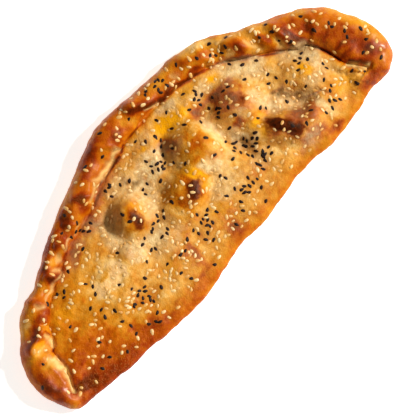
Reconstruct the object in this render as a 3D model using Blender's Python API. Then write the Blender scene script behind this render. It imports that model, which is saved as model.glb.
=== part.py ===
"""A folded flatbread: a half moon of stuffed dough, sealed by a rolled rim and strewn with seeds.

The bread is one closed surface, a loft between unlike sections. Spokes run from points on its
edge, over the rim, to a spine in its middle, and rings join the spokes. Along the curved side a
spoke climbs over the rolled rim and drops into the crease behind it. Along the straight side,
where the dough was folded over, it only rounds a thin edge. Blisters, hollows and pleats are then
laid over the surface, and seeds are sunk into it and fused by one Boolean union.

+X runs along the bread, +Y points to the rolled rim, +Z is up, and the bread rests on Z = 0.
"""
import math
import random

import bmesh
import bpy
import numpy as np
from mathutils import Matrix, Vector, noise
from mathutils.bvhtree import BVHTree

MM = 0.001                      # the sizes below are in millimetres, Blender's unit is the metre

# ---- Driving dimensions -------------------------------------------------------------------------
LENGTH = 320.0                  # along the bread, end to end
WIDTH = 125.0                   # from the folded edge to the top of the rolled rim
SPOKES = 150                    # sections round the edge, an even number
SEED_TOTAL = 780                # seeds on the real bread
SEED_COUNT = 200                # the largest of them, which are fused to the crust here

# Stations of the rolled rim, from the corner of the fold round the curved side to the far notch.
# Each is a point on the edge (x, y), its partner in the crease (x, y), and the roll's height.
ROLLED_RIM = [
    (-152.0, -45.0, -143.5, -38.0, 11.0),
    (-157.0, -35.2, -140.0, -30.5, 14.5),
    (-159.5, -21.2, -135.5, -20.2, 16.5),
    (-156.0, -7.2, -134.0, -11.2, 17.0),
    (-146.5, 5.3, -127.5, -5.2, 16.5),
    (-129.5, 19.8, -118.5, 7.3, 16.0),
    (-106.5, 27.3, -101.5, 15.3, 15.0),
    (-83.5, 37.8, -79.5, 23.8, 16.0),
    (-58.5, 46.8, -53.5, 29.3, 17.5),
    (-33.5, 54.8, -27.5, 37.3, 18.5),
    (-8.5, 61.6, -6.5, 41.3, 19.0),
    (11.5, 61.4, 12.5, 42.8, 19.0),
    (31.5, 58.1, 30.5, 42.6, 18.0),
    (57.5, 54.8, 53.5, 39.3, 17.5),
    (80.0, 48.7, 70.5, 33.3, 17.5),
    (102.0, 34.2, 89.5, 20.0, 18.0),
    (124.0, 21.7, 108.5, 5.3, 18.5),
    (141.2, 9.5, 120.8, -3.4, 18.0),
    (151.4, -4.7, 126.4, -13.0, 18.0),
    (158.3, -18.9, 128.4, -22.4, 18.5),
    (160.0, -35.0, 129.4, -31.2, 17.0),
    (155.8, -49.2, 133.4, -38.6, 13.5),
    (146.0, -55.6, 135.8, -44.8, 11.5),
]
# Points of the folded edge, from the notch back to the first station.
FOLDED_EDGE = [
    (134.5, -55.8), (128.5, -55.2), (113.5, -57.6), (92.5, -59.3), (71.5, -57.2), (51.5, -55.6),
    (39.5, -57.6), (16.5, -58.2), (-6.5, -56.8), (-20.5, -58.4), (-41.5, -61.9), (-63.5, -60.5),
    (-88.5, -57.2), (-118.5, -52.7), (-140.5, -49.3),
]
FOLD_INSET = 13.0               # from the folded edge to where the top turns flat
FOLD_DRAW = 0.93                # the flat top is this much shorter than the folded edge
FOLD_HEIGHT = 9.5               # height of the dough along the folded edge
FOLD_FOOT = 5.0                 # how far the folded edge overhangs its foot
FOLD_WIDEST = 0.45              # the folded edge is widest at this share of its height
FOLD_ROUND = 0.7                # it is rounded over this share of its inset
FOLD_LEVEL = 0.95               # and has this share of its height there
CREASE_HEIGHT = 10.5            # height of the pillow beside the rolled rim
CREASE_DIP = 1.6                # depth of the valley that follows the crease
CREASE_REACH = 2.4              # how far that valley reaches into the pillow
PLEAT_REACH = 6.0               # how far the rim's pleats reach into the pillow
SPINE_HEIGHT = 13.0             # height of the pillow along its middle
SPINE_END_HEIGHT = 11.0         # and at the ends of the spine
SPINE_HALF = 118.0              # the spine runs this far to each side of its centre
SPINE_CENTRE = (-2.0, -2.0)     # the spine's centre
SPINE_DROP = (25.0, 32.0)       # its left and right ends bend this far towards the folded edge
SPINE_EVEN = 0.35               # 0 gathers the spokes at the spine's ends, 1 spreads them evenly
WIDEST = 0.42                   # the roll is widest at this share of its height
CREST = 0.46                    # its crest lies at this share of its width
FOOT = 0.32                     # its foot lies this share of its width in from the edge
EDGE_SAMPLES = 4000             # steps in which the length of the edge is measured

# Rings of a section: angles in degrees round the rim, then shares of the way to the spine.
RIM_ANGLES = (-90, -42, 0, 32, 62, 90, 116, 142, 164, 180)
BLISTER_ANGLES = (0, 140)       # blisters of the folded edge set in between these angles
PLEAT_ANGLES = (-80, 10)        # and the rim's pleats between these
PILLOW_SHARES = (0.07, 0.17, 0.29, 0.42, 0.55, 0.69, 0.84)
BOTTOM_SHARES = (0.55,)

# Blisters and hollows of the pillow: x, y, half length, half width, turn in degrees, height.
BLISTER_CROWN = 1.4             # 1 gives a bell, more gives a flatter top with steeper sides
BLISTERS = [
    (-35.0, 7.0, 20.0, 17.0, 110.0, 9.6),
    (25.0, 6.0, 25.0, 20.0, 60.0, 10.4),
    (-1.0, -8.0, 24.0, 17.0, 12.0, 6.5),
    (65.0, 4.0, 22.0, 19.0, 100.0, 9.0),
    (64.0, -22.0, 18.0, 12.0, -40.0, 5.0),
    (79.0, -35.0, 26.0, 15.0, -35.0, 9.5),
    (98.0, -39.0, 15.0, 14.0, 20.0, 4.0),
    (106.0, -17.0, 22.0, 18.0, -60.0, 4.0),
    (-53.0, -9.0, 15.0, 11.0, 10.0, 2.2),
    (-20.0, 6.0, 15.0, 12.0, 0.0, -3.0),
    (-11.0, 18.0, 20.0, 12.0, 20.0, -1.6),
    (43.0, -13.0, 24.0, 9.0, 95.0, -3.2),
    (91.0, -20.0, 20.0, 9.0, -46.0, -4.2),
    (40.0, 31.0, 30.0, 11.0, -8.0, 2.2),
    (6.0, 31.0, 14.0, 10.0, 0.0, 1.8),
    (-75.0, -14.0, 30.0, 20.0, 15.0, 2.0),
    (-104.0, 2.0, 26.0, 15.0, 20.0, 1.4),
    (-40.0, -38.0, 26.0, 14.0, 10.0, 1.6),
    (18.0, -31.0, 28.0, 13.0, 0.0, 1.4),
    (54.0, -42.0, 18.0, 11.0, 0.0, 1.2),
    (130.0, -49.0, 16.0, 11.0, -12.0, 5.0),
    (130.0, -37.0, 17.0, 8.0, -50.0, 4.0),
    (-46.0, 13.5, 11.0, 8.0, 60.0, -1.8),
    (10.0, 18.0, 14.0, 7.0, 35.0, -2.2),
    (-78.0, 17.0, 30.0, 10.0, 20.0, -1.2),
]
# Grooves of the rim, where its pleats meet: start (x, y), end (x, y), half width, depth.
GROOVE_PINCH = 1.5              # 1 gives a sharp crimp, 2 a rounded furrow
GROOVE_FADE = 4                 # the larger, the shorter the stretch where a groove fades out
GROOVES = [
    (-148.0, -1.5, -126.0, 5.5, 4.2, 3.8),
    (-126.0, 5.5, -115.0, 12.0, 3.4, 2.4),
    (-145.0, -14.0, -145.0, -34.0, 2.6, 1.0),
    (-121.0, 24.0, -114.0, 11.0, 3.0, 2.0),
    (-102.0, 26.0, -96.0, 16.0, 3.0, 2.8),
    (-84.0, 32.0, -77.0, 22.0, 3.2, 2.6),
    (-70.0, 39.0, -62.0, 29.0, 2.8, 1.6),
    (-55.0, 44.0, -42.0, 33.0, 3.2, 2.2),
    (-24.0, 54.0, -6.0, 43.0, 2.6, 1.4),
    (13.0, 56.0, 33.0, 42.5, 3.6, 2.8),
    (31.0, 44.0, 68.0, 35.0, 3.2, 2.4),
    (56.0, 51.0, 76.0, 31.0, 3.4, 1.6),
    (88.0, 36.0, 95.0, 17.0, 4.8, 3.0),
    (104.0, 30.0, 108.5, 8.0, 4.0, 1.4),
    (114.0, 24.0, 121.5, -3.0, 5.0, 3.4),
    (137.0, 10.0, 127.0, -8.0, 3.6, 1.6),
    (133.0, -32.0, 138.0, -42.0, 1.8, 0.8),
]
# Bulges of the rim between the grooves, given as the blisters are.
BULGES = [
    (-137.0, -4.5, 11.0, 7.0, 20.0, 1.8),
    (-134.0, 12.5, 12.0, 8.0, 35.0, 1.2),
    (-109.0, 21.0, 11.0, 9.0, 20.0, 1.4),
    (-91.0, 24.0, 10.0, 8.0, 30.0, 1.6),
    (-72.0, 34.0, 12.0, 9.0, 30.0, 1.2),
    (-24.0, 42.0, 19.0, 8.0, 12.0, 1.4),
    (9.0, 50.0, 14.0, 9.0, -25.0, 1.6),
    (44.0, 50.0, 20.0, 8.0, -10.0, 1.2),
    (80.0, 38.0, 11.0, 10.0, -60.0, 1.6),
    (100.0, 24.0, 12.0, 7.0, -75.0, 2.0),
    (112.0, 15.0, 12.0, 6.0, -75.0, 1.6),
    (127.0, 6.0, 12.0, 8.0, -60.0, 1.8),
    (147.0, -30.0, 26.0, 16.0, -80.0, 2.4),
]
# Unevenness of the dough: breadth and height of its lumps, from broad to fine.
LUMPS = [(16.0, 1.3), (8.0, 0.7)]
WANDER_SIZE = 22.0              # blisters and pleats wander sideways: breadth and reach
WANDER_REACH = 4.5
WANDER_LAYERS = (0.5, 8.5)      # heights in the noise where the two shifts are read

# Seeds: length, width, thickness and how much the tip narrows
SESAME = (4.3, 3.1, 1.7, 0.38)
NIGELLA = (3.9, 2.8, 2.0, 0.22)
SESAME_SHARE = 0.66             # of all seeds, the rest are nigella
SEED_LARGEST = 1.08             # the first seed is this much larger than the sizes above
SEED_SMALLEST = 0.86            # and the last one this much smaller
SEED_SINK = 0.25                # share of a seed's thickness below the crust
SEED_SIDES = 6
SEED_BANDS = 4
SEED_EDGE_GAP = 6.0             # seeds keep this far in from the folded edge, half of it elsewhere
FOLD_LINE = -30.0               # below this line the edge is the folded one
SEED_THIN = (-145.0, -85.0)     # left of these places along X the seeds grow sparse
SEED_THIN_GAP = 0.6             # and their gaps count only this much
SEED_TRIES = 24                 # candidates for each seed; the one furthest from the others wins
SEED_OUTLINE = 72               # points of the outline that the candidates are held against
SEED_RULE = 11                  # seed of the random draws
SHARP_ANGLE = 35.0              # edges sharper than this, as round the seeds, aren't smoothed


# ---- The bread's surface ------------------------------------------------------------------------
def through(rows, places):
    """A closed smooth curve through rows of numbers, read at places counted in rows."""
    rows = np.asarray(rows, dtype=float)
    first = np.floor(places).astype(int)
    step = (places - first)[:, None]
    before, here, after, beyond = (rows[(first + k) % len(rows)] for k in (-1, 0, 1, 2))
    return 0.5 * (2 * here + (after - before) * step
                  + (2 * before - 5 * here + 4 * after - beyond) * step ** 2
                  + (3 * here - before - 3 * after + beyond) * step ** 3)


def stations():
    """Edge, crease, crest height and roll (1 on the rolled rim, 0 on the fold) of each station."""
    rolled = [(*rim, 1.0) for rim in ROLLED_RIM]
    folded = [(x, y, x * FOLD_DRAW, y + FOLD_INSET, FOLD_HEIGHT, 0.0) for x, y in FOLDED_EDGE]
    return np.array(rolled + folded)


def places_along(rows, start, stop, shares):
    """Places in rows, between start and stop, at the given shares of the edge's length."""
    dense = np.linspace(start, stop, EDGE_SAMPLES)
    edge = through(rows, dense)[:, :2]
    lengths = np.append(0.0, np.cumsum(np.linalg.norm(np.diff(edge, axis=0), axis=1)))
    return np.interp(shares * lengths[-1], lengths, dense)


def spokes(count):
    """For each spoke: edge (x, y), crease (x, y), crest, roll, and the spine's x, y and height."""
    rows = stations()
    half = count // 2
    share = np.arange(half + 1) / half
    along = (1 - SPINE_EVEN) * (1 - np.cos(math.pi * share)) / 2 + SPINE_EVEN * share
    turn = len(ROLLED_RIM) - 1
    rolled = places_along(rows, 0, turn, share)
    folded = places_along(rows, turn, len(rows), along)
    data = through(rows, np.append(rolled, folded[1:-1]))
    data[:, 5] = np.clip(data[:, 5], 0, 1)

    across = np.append(along, along[::-1][1:-1]) * 2 - 1
    spine_x = SPINE_CENTRE[0] + SPINE_HALF * across
    spine_y = SPINE_CENTRE[1] - np.where(across < 0, *SPINE_DROP) * across ** 2
    spine_z = SPINE_HEIGHT + (SPINE_END_HEIGHT - SPINE_HEIGHT) * across ** 2
    return np.column_stack([data, spine_x, spine_y, spine_z])


def ease(low, high, value):
    """0 below low, 1 above high, and a smooth step between them."""
    share = np.clip((value - low) / (high - low), 0, 1)
    return share * share * (3 - 2 * share)


def rim_ring(data, angle):
    """One ring round the rim, at an angle from the foot (-90) over the crest (90) to the crease.

    Each row is a point (x, y, z) and how fully it takes blisters and pleats.
    """
    edge, crease, crest, roll = data[:, 0:2], data[:, 2:4], data[:, 4], data[:, 5]
    width = np.linalg.norm(crease - edge, axis=1)
    turn = math.radians(angle)
    valley = CREASE_HEIGHT - CREASE_DIP
    if angle <= 0:
        inward = FOOT * width * (1 - math.cos(turn))
        height = WIDEST * crest * (1 + math.sin(turn))
        fold_inward = FOLD_FOOT * (1 - math.cos(turn))
        fold_height = FOLD_WIDEST * FOLD_HEIGHT * (1 + math.sin(turn))
    elif angle <= 90:
        inward = CREST * width * (1 - math.cos(turn))
        height = crest * (WIDEST + (1 - WIDEST) * math.sin(turn))
        fold_inward = FOLD_ROUND * FOLD_INSET * (1 - math.cos(turn))
        fold_height = FOLD_HEIGHT * (FOLD_WIDEST + (FOLD_LEVEL - FOLD_WIDEST) * math.sin(turn))
    else:
        past = turn - math.pi / 2
        inward = width * (CREST + (1 - CREST) * math.sin(past))
        height = valley + (crest - valley) * math.cos(past)
        flat = (angle - 90) / 90
        fold_inward = FOLD_INSET * (FOLD_ROUND + (1 - FOLD_ROUND) * flat)
        fold_height = FOLD_HEIGHT * (FOLD_LEVEL + (1 - FOLD_LEVEL) * flat)
    inward = roll * inward + (1 - roll) * fold_inward
    height = roll * height + (1 - roll) * fold_height
    direction = (crease - edge) / width[:, None]
    blisters = (1 - roll) * ease(*BLISTER_ANGLES, angle)
    pleats = np.full(len(data), ease(*PLEAT_ANGLES, angle))
    return np.column_stack([edge + direction * inward[:, None], height, blisters, pleats])


def pillow_ring(data, share):
    """One ring of the pillow's top, at a share of the way from the crease to the spine."""
    crease, roll, spine = data[:, 2:4], data[:, 5], data[:, 6:8]
    away = np.linalg.norm(spine - crease, axis=1) * share
    low = roll * CREASE_HEIGHT + (1 - roll) * FOLD_HEIGHT
    rise = (data[:, 8] - low) * (1 - (1 - share) ** 2)
    dip = roll * CREASE_DIP * np.exp(-away / CREASE_REACH)
    blisters = 1 - roll * np.exp(-away / CREASE_REACH)
    pleats = 1 - ease(0, PLEAT_REACH, away)
    return np.column_stack([crease + (spine - crease) * share, low + rise - dip, blisters, pleats])


def wander(x, y):
    """Places carried sideways by the dough's unevenness, so that no blister is a true oval."""
    places = list(zip(x / WANDER_SIZE, y / WANDER_SIZE))
    shift_x = np.array([noise.noise((u, v, WANDER_LAYERS[0])) for u, v in places])
    shift_y = np.array([noise.noise((u, v, WANDER_LAYERS[1])) for u, v in places])
    return x + shift_x * WANDER_REACH, y + shift_y * WANDER_REACH


def hills(x, y, rows, crown=1.0):
    """Height of a row of rounded hills, each with its own place, lengths, turn and height."""
    total = np.zeros_like(x)
    for centre_x, centre_y, half_length, half_width, turn, height in rows:
        c, s = math.cos(math.radians(turn)), math.sin(math.radians(turn))
        along = ((x - centre_x) * c + (y - centre_y) * s) / half_length
        across = ((y - centre_y) * c - (x - centre_x) * s) / half_width
        away = np.minimum(np.hypot(along, across), 1) ** crown
        total += height * (0.5 + 0.5 * np.cos(math.pi * away))
    return total


def grooves(x, y):
    """Depth of the pinched grooves of the rim, each fading out at both ends."""
    total = np.zeros_like(x)
    for x1, y1, x2, y2, half_width, depth in GROOVES:
        dx, dy = x2 - x1, y2 - y1
        along = ((x - x1) * dx + (y - y1) * dy) / (dx * dx + dy * dy)
        nearest = np.clip(along, 0, 1)
        away = np.hypot(x - x1 - nearest * dx, y - y1 - nearest * dy)
        fade = 1 - (2 * nearest - 1) ** GROOVE_FADE
        total += depth * fade * np.exp(-(away / half_width) ** GROOVE_PINCH)
    return total


def lumps(points):
    """Unevenness of the dough at each point."""
    total = np.zeros(len(points))
    for size, height in LUMPS:
        turn = Matrix.Rotation(size, 3, (1, 1, 1)) * (1 / size)
        total += height * np.array([noise.noise(turn @ Vector(p)) for p in points])
    return total


def bread_rings():
    """Rings of points from the bottom's middle round the rim to the spine, and the spine itself."""
    data = spokes(SPOKES)
    foot = rim_ring(data, RIM_ANGLES[0])
    bottom = []
    for share in BOTTOM_SHARES:
        inner = foot.copy()
        inner[:, :2] += (data[:, 6:8] - foot[:, :2]) * share
        bottom.append(inner)
    rim = [rim_ring(data, angle) for angle in RIM_ANGLES]
    pillow = [pillow_ring(data, share) for share in PILLOW_SHARES]
    top = pillow_ring(data, 1.0)[:SPOKES // 2 + 1]
    return bottom[::-1] + rim + pillow, top


def add_relief(rows, faces):
    """Lay blisters, pleats and lumps over the rows, and return their points."""
    points = rows[:, :3]
    mesh = bpy.data.meshes.new("smooth_bread")
    mesh.from_pydata(points.tolist(), [], faces)
    normals = np.array([corner.vector for corner in mesh.vertex_normals])
    bpy.data.meshes.remove(mesh)

    x, y = wander(rows[:, 0], rows[:, 1])
    pleats = (hills(x, y, BULGES) - grooves(x, y)) * rows[:, 4]
    uneven = lumps(points) * np.maximum(rows[:, 3], rows[:, 4])
    points = points + normals * (pleats + uneven)[:, None]
    points[:, 2] += hills(x, y, BLISTERS, BLISTER_CROWN) * rows[:, 3]
    return points


def strip(first, second):
    """Quads between two closed rows of point numbers."""
    count = len(first)
    return [(first[i], first[(i + 1) % count], second[(i + 1) % count], second[i])
            for i in range(count)]


def without_repeats(face):
    """A face without corners that are named twice, as at the ends of the spine."""
    return tuple(corner for k, corner in enumerate(face) if corner != face[k - 1])


def bread_faces(ring_count):
    """Faces of the closed surface: bottom, rim and pillow in one run of strips."""
    rows = [list(range(k * SPOKES, (k + 1) * SPOKES)) for k in range(ring_count)]
    half = SPOKES // 2
    mirror = [min(i, SPOKES - i) for i in range(SPOKES)]
    top = [ring_count * SPOKES + m for m in mirror]
    under = [ring_count * SPOKES + half + 1 + m for m in mirror]
    faces = strip(under, rows[0]) + strip(rows[-1], top)
    for inner, outer in zip(rows, rows[1:]):
        faces += strip(inner, outer)
    return [without_repeats(face) for face in faces]


def make_bread(material):
    """The dough's body, before the seeds are fused to it."""
    rings, top = bread_rings()
    faces = bread_faces(len(rings))
    under = top * (1, 1, 0, 0, 0)
    points = add_relief(np.vstack(rings + [top, under]), faces) * MM
    mesh = bpy.data.meshes.new("seeded_bread")
    mesh.from_pydata(points.tolist(), [], faces)
    shape = bmesh.new()
    shape.from_mesh(mesh)
    bmesh.ops.triangulate(shape, faces=shape.faces, quad_method="SHORT_EDGE")
    shape.to_mesh(mesh)
    shape.free()
    mesh.materials.append(material)
    mesh.shade_smooth()
    return bpy.data.objects.new("seeded_bread", mesh)


# ---- Seeds --------------------------------------------------------------------------------------
def seed_mesh(name, length, width, thickness, taper, material):
    """A flat drop: a sphere stretched along X, narrowed towards its tip."""
    shape = bmesh.new()
    bmesh.ops.create_uvsphere(shape, u_segments=SEED_SIDES, v_segments=SEED_BANDS, radius=0.5,
                              matrix=Matrix.Rotation(math.pi / 2, 4, "Y"))
    for vertex in shape.verts:
        narrow = 1 - taper * (vertex.co.x + 0.5)
        vertex.co.y *= narrow * width
        vertex.co.z *= narrow * thickness
        vertex.co.x *= length
    bmesh.ops.scale(shape, vec=(MM, MM, MM), verts=shape.verts)
    mesh = bpy.data.meshes.new(name)
    shape.to_mesh(mesh)
    shape.free()
    mesh.materials.append(material)
    return mesh


def edge_distance(x, y, edge):
    """Distance of a place from the bread's edge, negative outside it."""
    inside = False
    nearest = math.inf
    for (x1, y1), (x2, y2) in zip(edge, np.roll(edge, -1, axis=0)):
        if (y1 > y) != (y2 > y) and x < x1 + (y - y1) / (y2 - y1) * (x2 - x1):
            inside = not inside
        dx, dy = x2 - x1, y2 - y1
        t = min(max(((x - x1) * dx + (y - y1) * dy) / (dx * dx + dy * dy), 0), 1)
        nearest = min(nearest, math.hypot(x - x1 - t * dx, y - y1 - t * dy))
    return nearest if inside else -nearest


def seed_places(count):
    """Places spread evenly over the crust: each is the candidate furthest from those before it."""
    draw = random.Random(SEED_RULE)
    edge = spokes(SEED_OUTLINE)[:, :2]
    places = []
    while len(places) < count:
        best, best_gap = None, 0.0
        for _ in range(SEED_TRIES):
            x = draw.uniform(-LENGTH / 2, LENGTH / 2)
            y = draw.uniform(-WIDTH / 2, WIDTH / 2)
            inset = SEED_EDGE_GAP if y < FOLD_LINE else SEED_EDGE_GAP / 2
            if edge_distance(x, y, edge) < inset:
                continue
            gap = min((math.hypot(x - px, y - py) for px, py in places), default=LENGTH)
            gap *= SEED_THIN_GAP + (1 - SEED_THIN_GAP) * ease(*SEED_THIN, x)
            if gap > best_gap:
                best, best_gap = (x, y), gap
        if best:
            places.append(best)
    return places


def scatter_seeds(bread, collection, sesame_material, nigella_material):
    """Lay the seeds on the bread's crust, each turned its own way and sunk a little."""
    tree = BVHTree.FromPolygons([v.co for v in bread.data.vertices],
                                [p.vertices for p in bread.data.polygons])
    sesame = seed_mesh("sesame", *SESAME, sesame_material)
    nigella = seed_mesh("nigella", *NIGELLA, nigella_material)
    above = bread.dimensions.z * 2 + MM
    draw = random.Random(SEED_RULE)
    for number, (x, y) in enumerate(seed_places(SEED_COUNT)):
        is_sesame = draw.random() < SESAME_SHARE
        mesh, thickness = (sesame, SESAME[2]) if is_sesame else (nigella, NIGELLA[2])
        turn = draw.uniform(0, 2 * math.pi)
        size = SEED_LARGEST + (SEED_SMALLEST - SEED_LARGEST) * number / SEED_TOTAL
        hit, normal, _, _ = tree.ray_cast(Vector((x * MM, y * MM, above)), Vector((0, 0, -1)))
        lift = (0.5 - SEED_SINK) * thickness * size * MM
        upright = normal.to_track_quat("Z", "Y").to_matrix().to_4x4()
        seed = bpy.data.objects.new(f"seed_{number:03d}", mesh)
        seed.matrix_world = (Matrix.Translation(hit + normal * lift) @ upright
                             @ Matrix.Rotation(turn, 4, "Z") @ Matrix.Scale(size, 4))
        collection.objects.link(seed)


def fuse(bread, collection):
    """Join the collection's seeds to the bread by one union, and remove them."""
    union = bread.modifiers.new("seeds", "BOOLEAN")
    union.operation = "UNION"
    union.operand_type = "COLLECTION"
    union.collection = collection
    union.solver = "EXACT"
    union.material_mode = "TRANSFER"
    graph = bpy.context.evaluated_depsgraph_get()
    fused = bpy.data.meshes.new_from_object(bread.evaluated_get(graph))
    fused.name = bread.name
    fused.set_sharp_from_angle(angle=math.radians(SHARP_ANGLE))
    bread.modifiers.remove(union)
    bread.data = fused
    for seed in list(collection.objects):
        bpy.data.objects.remove(seed)


# ---- Materials and assembly ---------------------------------------------------------------------
def make_material(name, colour, roughness):
    material = bpy.data.materials.new(name)
    material.use_nodes = True
    shader = material.node_tree.nodes["Principled BSDF"]
    shader.inputs["Base Color"].default_value = (*colour, 1.0)
    shader.inputs["Roughness"].default_value = roughness
    shader.inputs["Metallic"].default_value = 0.0
    return material


def main():
    for old in list(bpy.data.objects):
        bpy.data.objects.remove(old)
    part = bpy.data.collections.new("stuffed_flatbread")
    seeds = bpy.data.collections.new("seeds")
    for collection in (part, seeds):
        bpy.context.scene.collection.children.link(collection)

    crust = make_material("crust", (0.72, 0.38, 0.11), 0.42)
    sesame = make_material("sesame", (0.80, 0.58, 0.32), 0.45)
    nigella = make_material("nigella", (0.015, 0.012, 0.012), 0.55)

    bread = make_bread(crust)
    part.objects.link(bread)
    scatter_seeds(bread, seeds, sesame, nigella)
    fuse(bread, seeds)


main()
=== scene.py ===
# %% [markdown]
# # A folded flatbread with seeds
# The bread is a round of dough, filled, folded into a half moon and sealed by rolling and pinching
# its curved edge. It was brushed with egg, strewn with sesame and nigella seeds, and baked until
# its blisters scorched. This notebook models its crust finely, from the sizes that the packed
# solid has too, paints it by the way it baked, and lays every seed on it.

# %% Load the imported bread
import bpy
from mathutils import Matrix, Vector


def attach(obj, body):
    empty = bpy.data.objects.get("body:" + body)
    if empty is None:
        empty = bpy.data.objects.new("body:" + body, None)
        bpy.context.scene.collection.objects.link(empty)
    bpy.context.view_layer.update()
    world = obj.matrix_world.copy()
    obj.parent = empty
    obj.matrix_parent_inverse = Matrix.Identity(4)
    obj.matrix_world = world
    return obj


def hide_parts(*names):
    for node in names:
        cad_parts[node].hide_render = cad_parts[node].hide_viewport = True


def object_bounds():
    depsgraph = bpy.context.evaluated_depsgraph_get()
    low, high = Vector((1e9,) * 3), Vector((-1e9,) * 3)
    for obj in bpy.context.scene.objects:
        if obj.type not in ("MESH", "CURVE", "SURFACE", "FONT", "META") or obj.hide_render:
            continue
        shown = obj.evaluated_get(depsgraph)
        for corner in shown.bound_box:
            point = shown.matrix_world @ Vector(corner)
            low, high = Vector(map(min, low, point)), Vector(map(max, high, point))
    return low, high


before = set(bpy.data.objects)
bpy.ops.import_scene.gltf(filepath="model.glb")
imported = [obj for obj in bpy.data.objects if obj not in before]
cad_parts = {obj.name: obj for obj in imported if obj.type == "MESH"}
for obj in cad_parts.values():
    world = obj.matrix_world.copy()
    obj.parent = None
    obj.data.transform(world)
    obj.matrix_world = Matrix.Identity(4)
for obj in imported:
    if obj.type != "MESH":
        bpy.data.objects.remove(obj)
cad_low, cad_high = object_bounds()
print("solid from", tuple(cad_low), "to", tuple(cad_high))

# %% [markdown]
# ## Units and helpers
# Sizes are in millimetres, but Blender counts in metres, so they are multiplied by MM on their way
# into the scene. What is made there shows only once it is linked, so one helper does both, and
# another makes a smoothly shaded mesh.

# %% Modules, the millimetre and helpers
import math
import random

import bmesh
import bpy
import numpy as np
from mathutils import Matrix, Vector, noise
from mathutils.bvhtree import BVHTree
from mathutils.kdtree import KDTree

MM = 0.001


def add_object(name, data):
    """An object of a mesh, lens or lamp, linked to the scene."""
    made = bpy.data.objects.new(name, data)
    bpy.context.scene.collection.objects.link(made)
    return made


def smooth_mesh(name, corners, sides):
    """A smoothly shaded mesh from an array of corners and a list of faces."""
    made = bpy.data.meshes.new(name)
    made.from_pydata(corners.tolist(), [], sides)
    made.shade_smooth()
    return made


print("the solid is", round((cad_high.x - cad_low.x) / MM), "mm long")

# %% [markdown]
# ## The camera
# The picture was taken from above, a little leaning, with the bread lying across the frame. A
# camera could be placed by eye, but four facts fix it here: how far the bread is turned in the
# frame, how steeply the camera looks down, what it looks at, and how wide the frame is there. A
# long lens keeps the outline from bulging, as it does in a food picture.

# %% Place the camera
FRAME_TURN = math.radians(49.5)     # the bread's length is turned this far from the frame's width
CAMERA_LIFT = math.radians(81.0)    # the camera's height above the horizon
FRAME_CENTRE = Vector((0.8, -25.6, 10.0)) * MM      # what the camera looks at
FRAME_WIDTH = 265.1 * MM            # width of the frame at the height of its centre
LENS, SENSOR = 800.0, 36.0          # focal length and width of the sensor, in millimetres

frame_right = Vector((math.cos(FRAME_TURN), -math.sin(FRAME_TURN), 0))
frame_up = Vector((math.sin(FRAME_TURN), math.cos(FRAME_TURN), 0))
to_camera = Vector((0, 0, math.sin(CAMERA_LIFT))) - frame_up * math.cos(CAMERA_LIFT)

lens = bpy.data.cameras.new("camera")
lens.lens = LENS
lens.sensor_width = SENSOR
camera = add_object("camera", lens)
camera_top = to_camera.cross(frame_right)
camera.rotation_euler = Matrix((frame_right, camera_top, to_camera)).transposed().to_euler()
camera.location = FRAME_CENTRE + to_camera * FRAME_WIDTH * LENS / SENSOR
bpy.context.scene.camera = camera
print("camera at", tuple(round(c, 3) for c in camera.location))

# %% [markdown]
# ## The outline
# The curved side is rolled dough: it has an outer edge, a crest, and a crease behind it where the
# roll meets the pillow of filled dough. The straight side is only the fold. Both are given as
# stations round the bread, the same that the solid was built from, and a closed curve is drawn
# smoothly through them. A traced picture would give more points but no names for what they are.

# %% Stations of the rolled rim and the folded edge
# Edge (x, y), crease (x, y) and height of the crest, from the corner of the fold round the rim.
ROLLED_RIM = [
    (-152, -45, -143.5, -38, 11), (-157, -35.2, -140, -30.5, 14.5),
    (-159.5, -21.2, -135.5, -20.2, 16.5), (-156, -7.2, -134, -11.2, 17),
    (-146.5, 5.3, -127.5, -5.2, 16.5), (-129.5, 19.8, -118.5, 7.3, 16),
    (-106.5, 27.3, -101.5, 15.3, 15), (-83.5, 37.8, -79.5, 23.8, 16), (-58.5, 46.8, -53.5, 29.3, 17.5),
    (-33.5, 54.8, -27.5, 37.3, 18.5), (-8.5, 61.6, -6.5, 41.3, 19), (11.5, 61.4, 12.5, 42.8, 19),
    (31.5, 58.1, 30.5, 42.6, 18), (57.5, 54.8, 53.5, 39.3, 17.5), (80, 48.7, 70.5, 33.3, 17.5),
    (102, 34.2, 89.5, 20, 18), (124, 21.7, 108.5, 5.3, 18.5), (141.2, 9.5, 120.8, -3.4, 18),
    (151.4, -4.7, 126.4, -13, 18), (158.3, -18.9, 128.4, -22.4, 18.5), (160, -35, 129.4, -31.2, 17),
    (155.8, -49.2, 133.4, -38.6, 13.5), (146, -55.6, 135.8, -44.8, 11.5),
]
# Edge (x, y) of the fold, and back to the first corner.
FOLDED_EDGE = [
    (134.5, -55.8), (128.5, -55.2), (113.5, -57.6), (92.5, -59.3), (71.5, -57.2), (51.5, -55.6),
    (39.5, -57.6), (16.5, -58.2), (-6.5, -56.8), (-20.5, -58.4), (-41.5, -61.9), (-63.5, -60.5),
    (-88.5, -57.2), (-118.5, -52.7), (-140.5, -49.3),
]
FOLD_INSET = 13.0                   # from the folded edge to where the top turns flat
FOLD_DRAW = 0.93                    # the flat top is this much shorter than the folded edge
FOLD_HEIGHT = 9.5                   # height of the dough along the folded edge


def stations():
    """Edge, crease, crest height and roll (1 on the rolled rim, 0 on the fold) of each station."""
    rolled = [(*rim, 1.0) for rim in ROLLED_RIM]
    folded = [(x, y, x * FOLD_DRAW, y + FOLD_INSET, FOLD_HEIGHT, 0.0) for x, y in FOLDED_EDGE]
    return np.array(rolled + folded)


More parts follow.
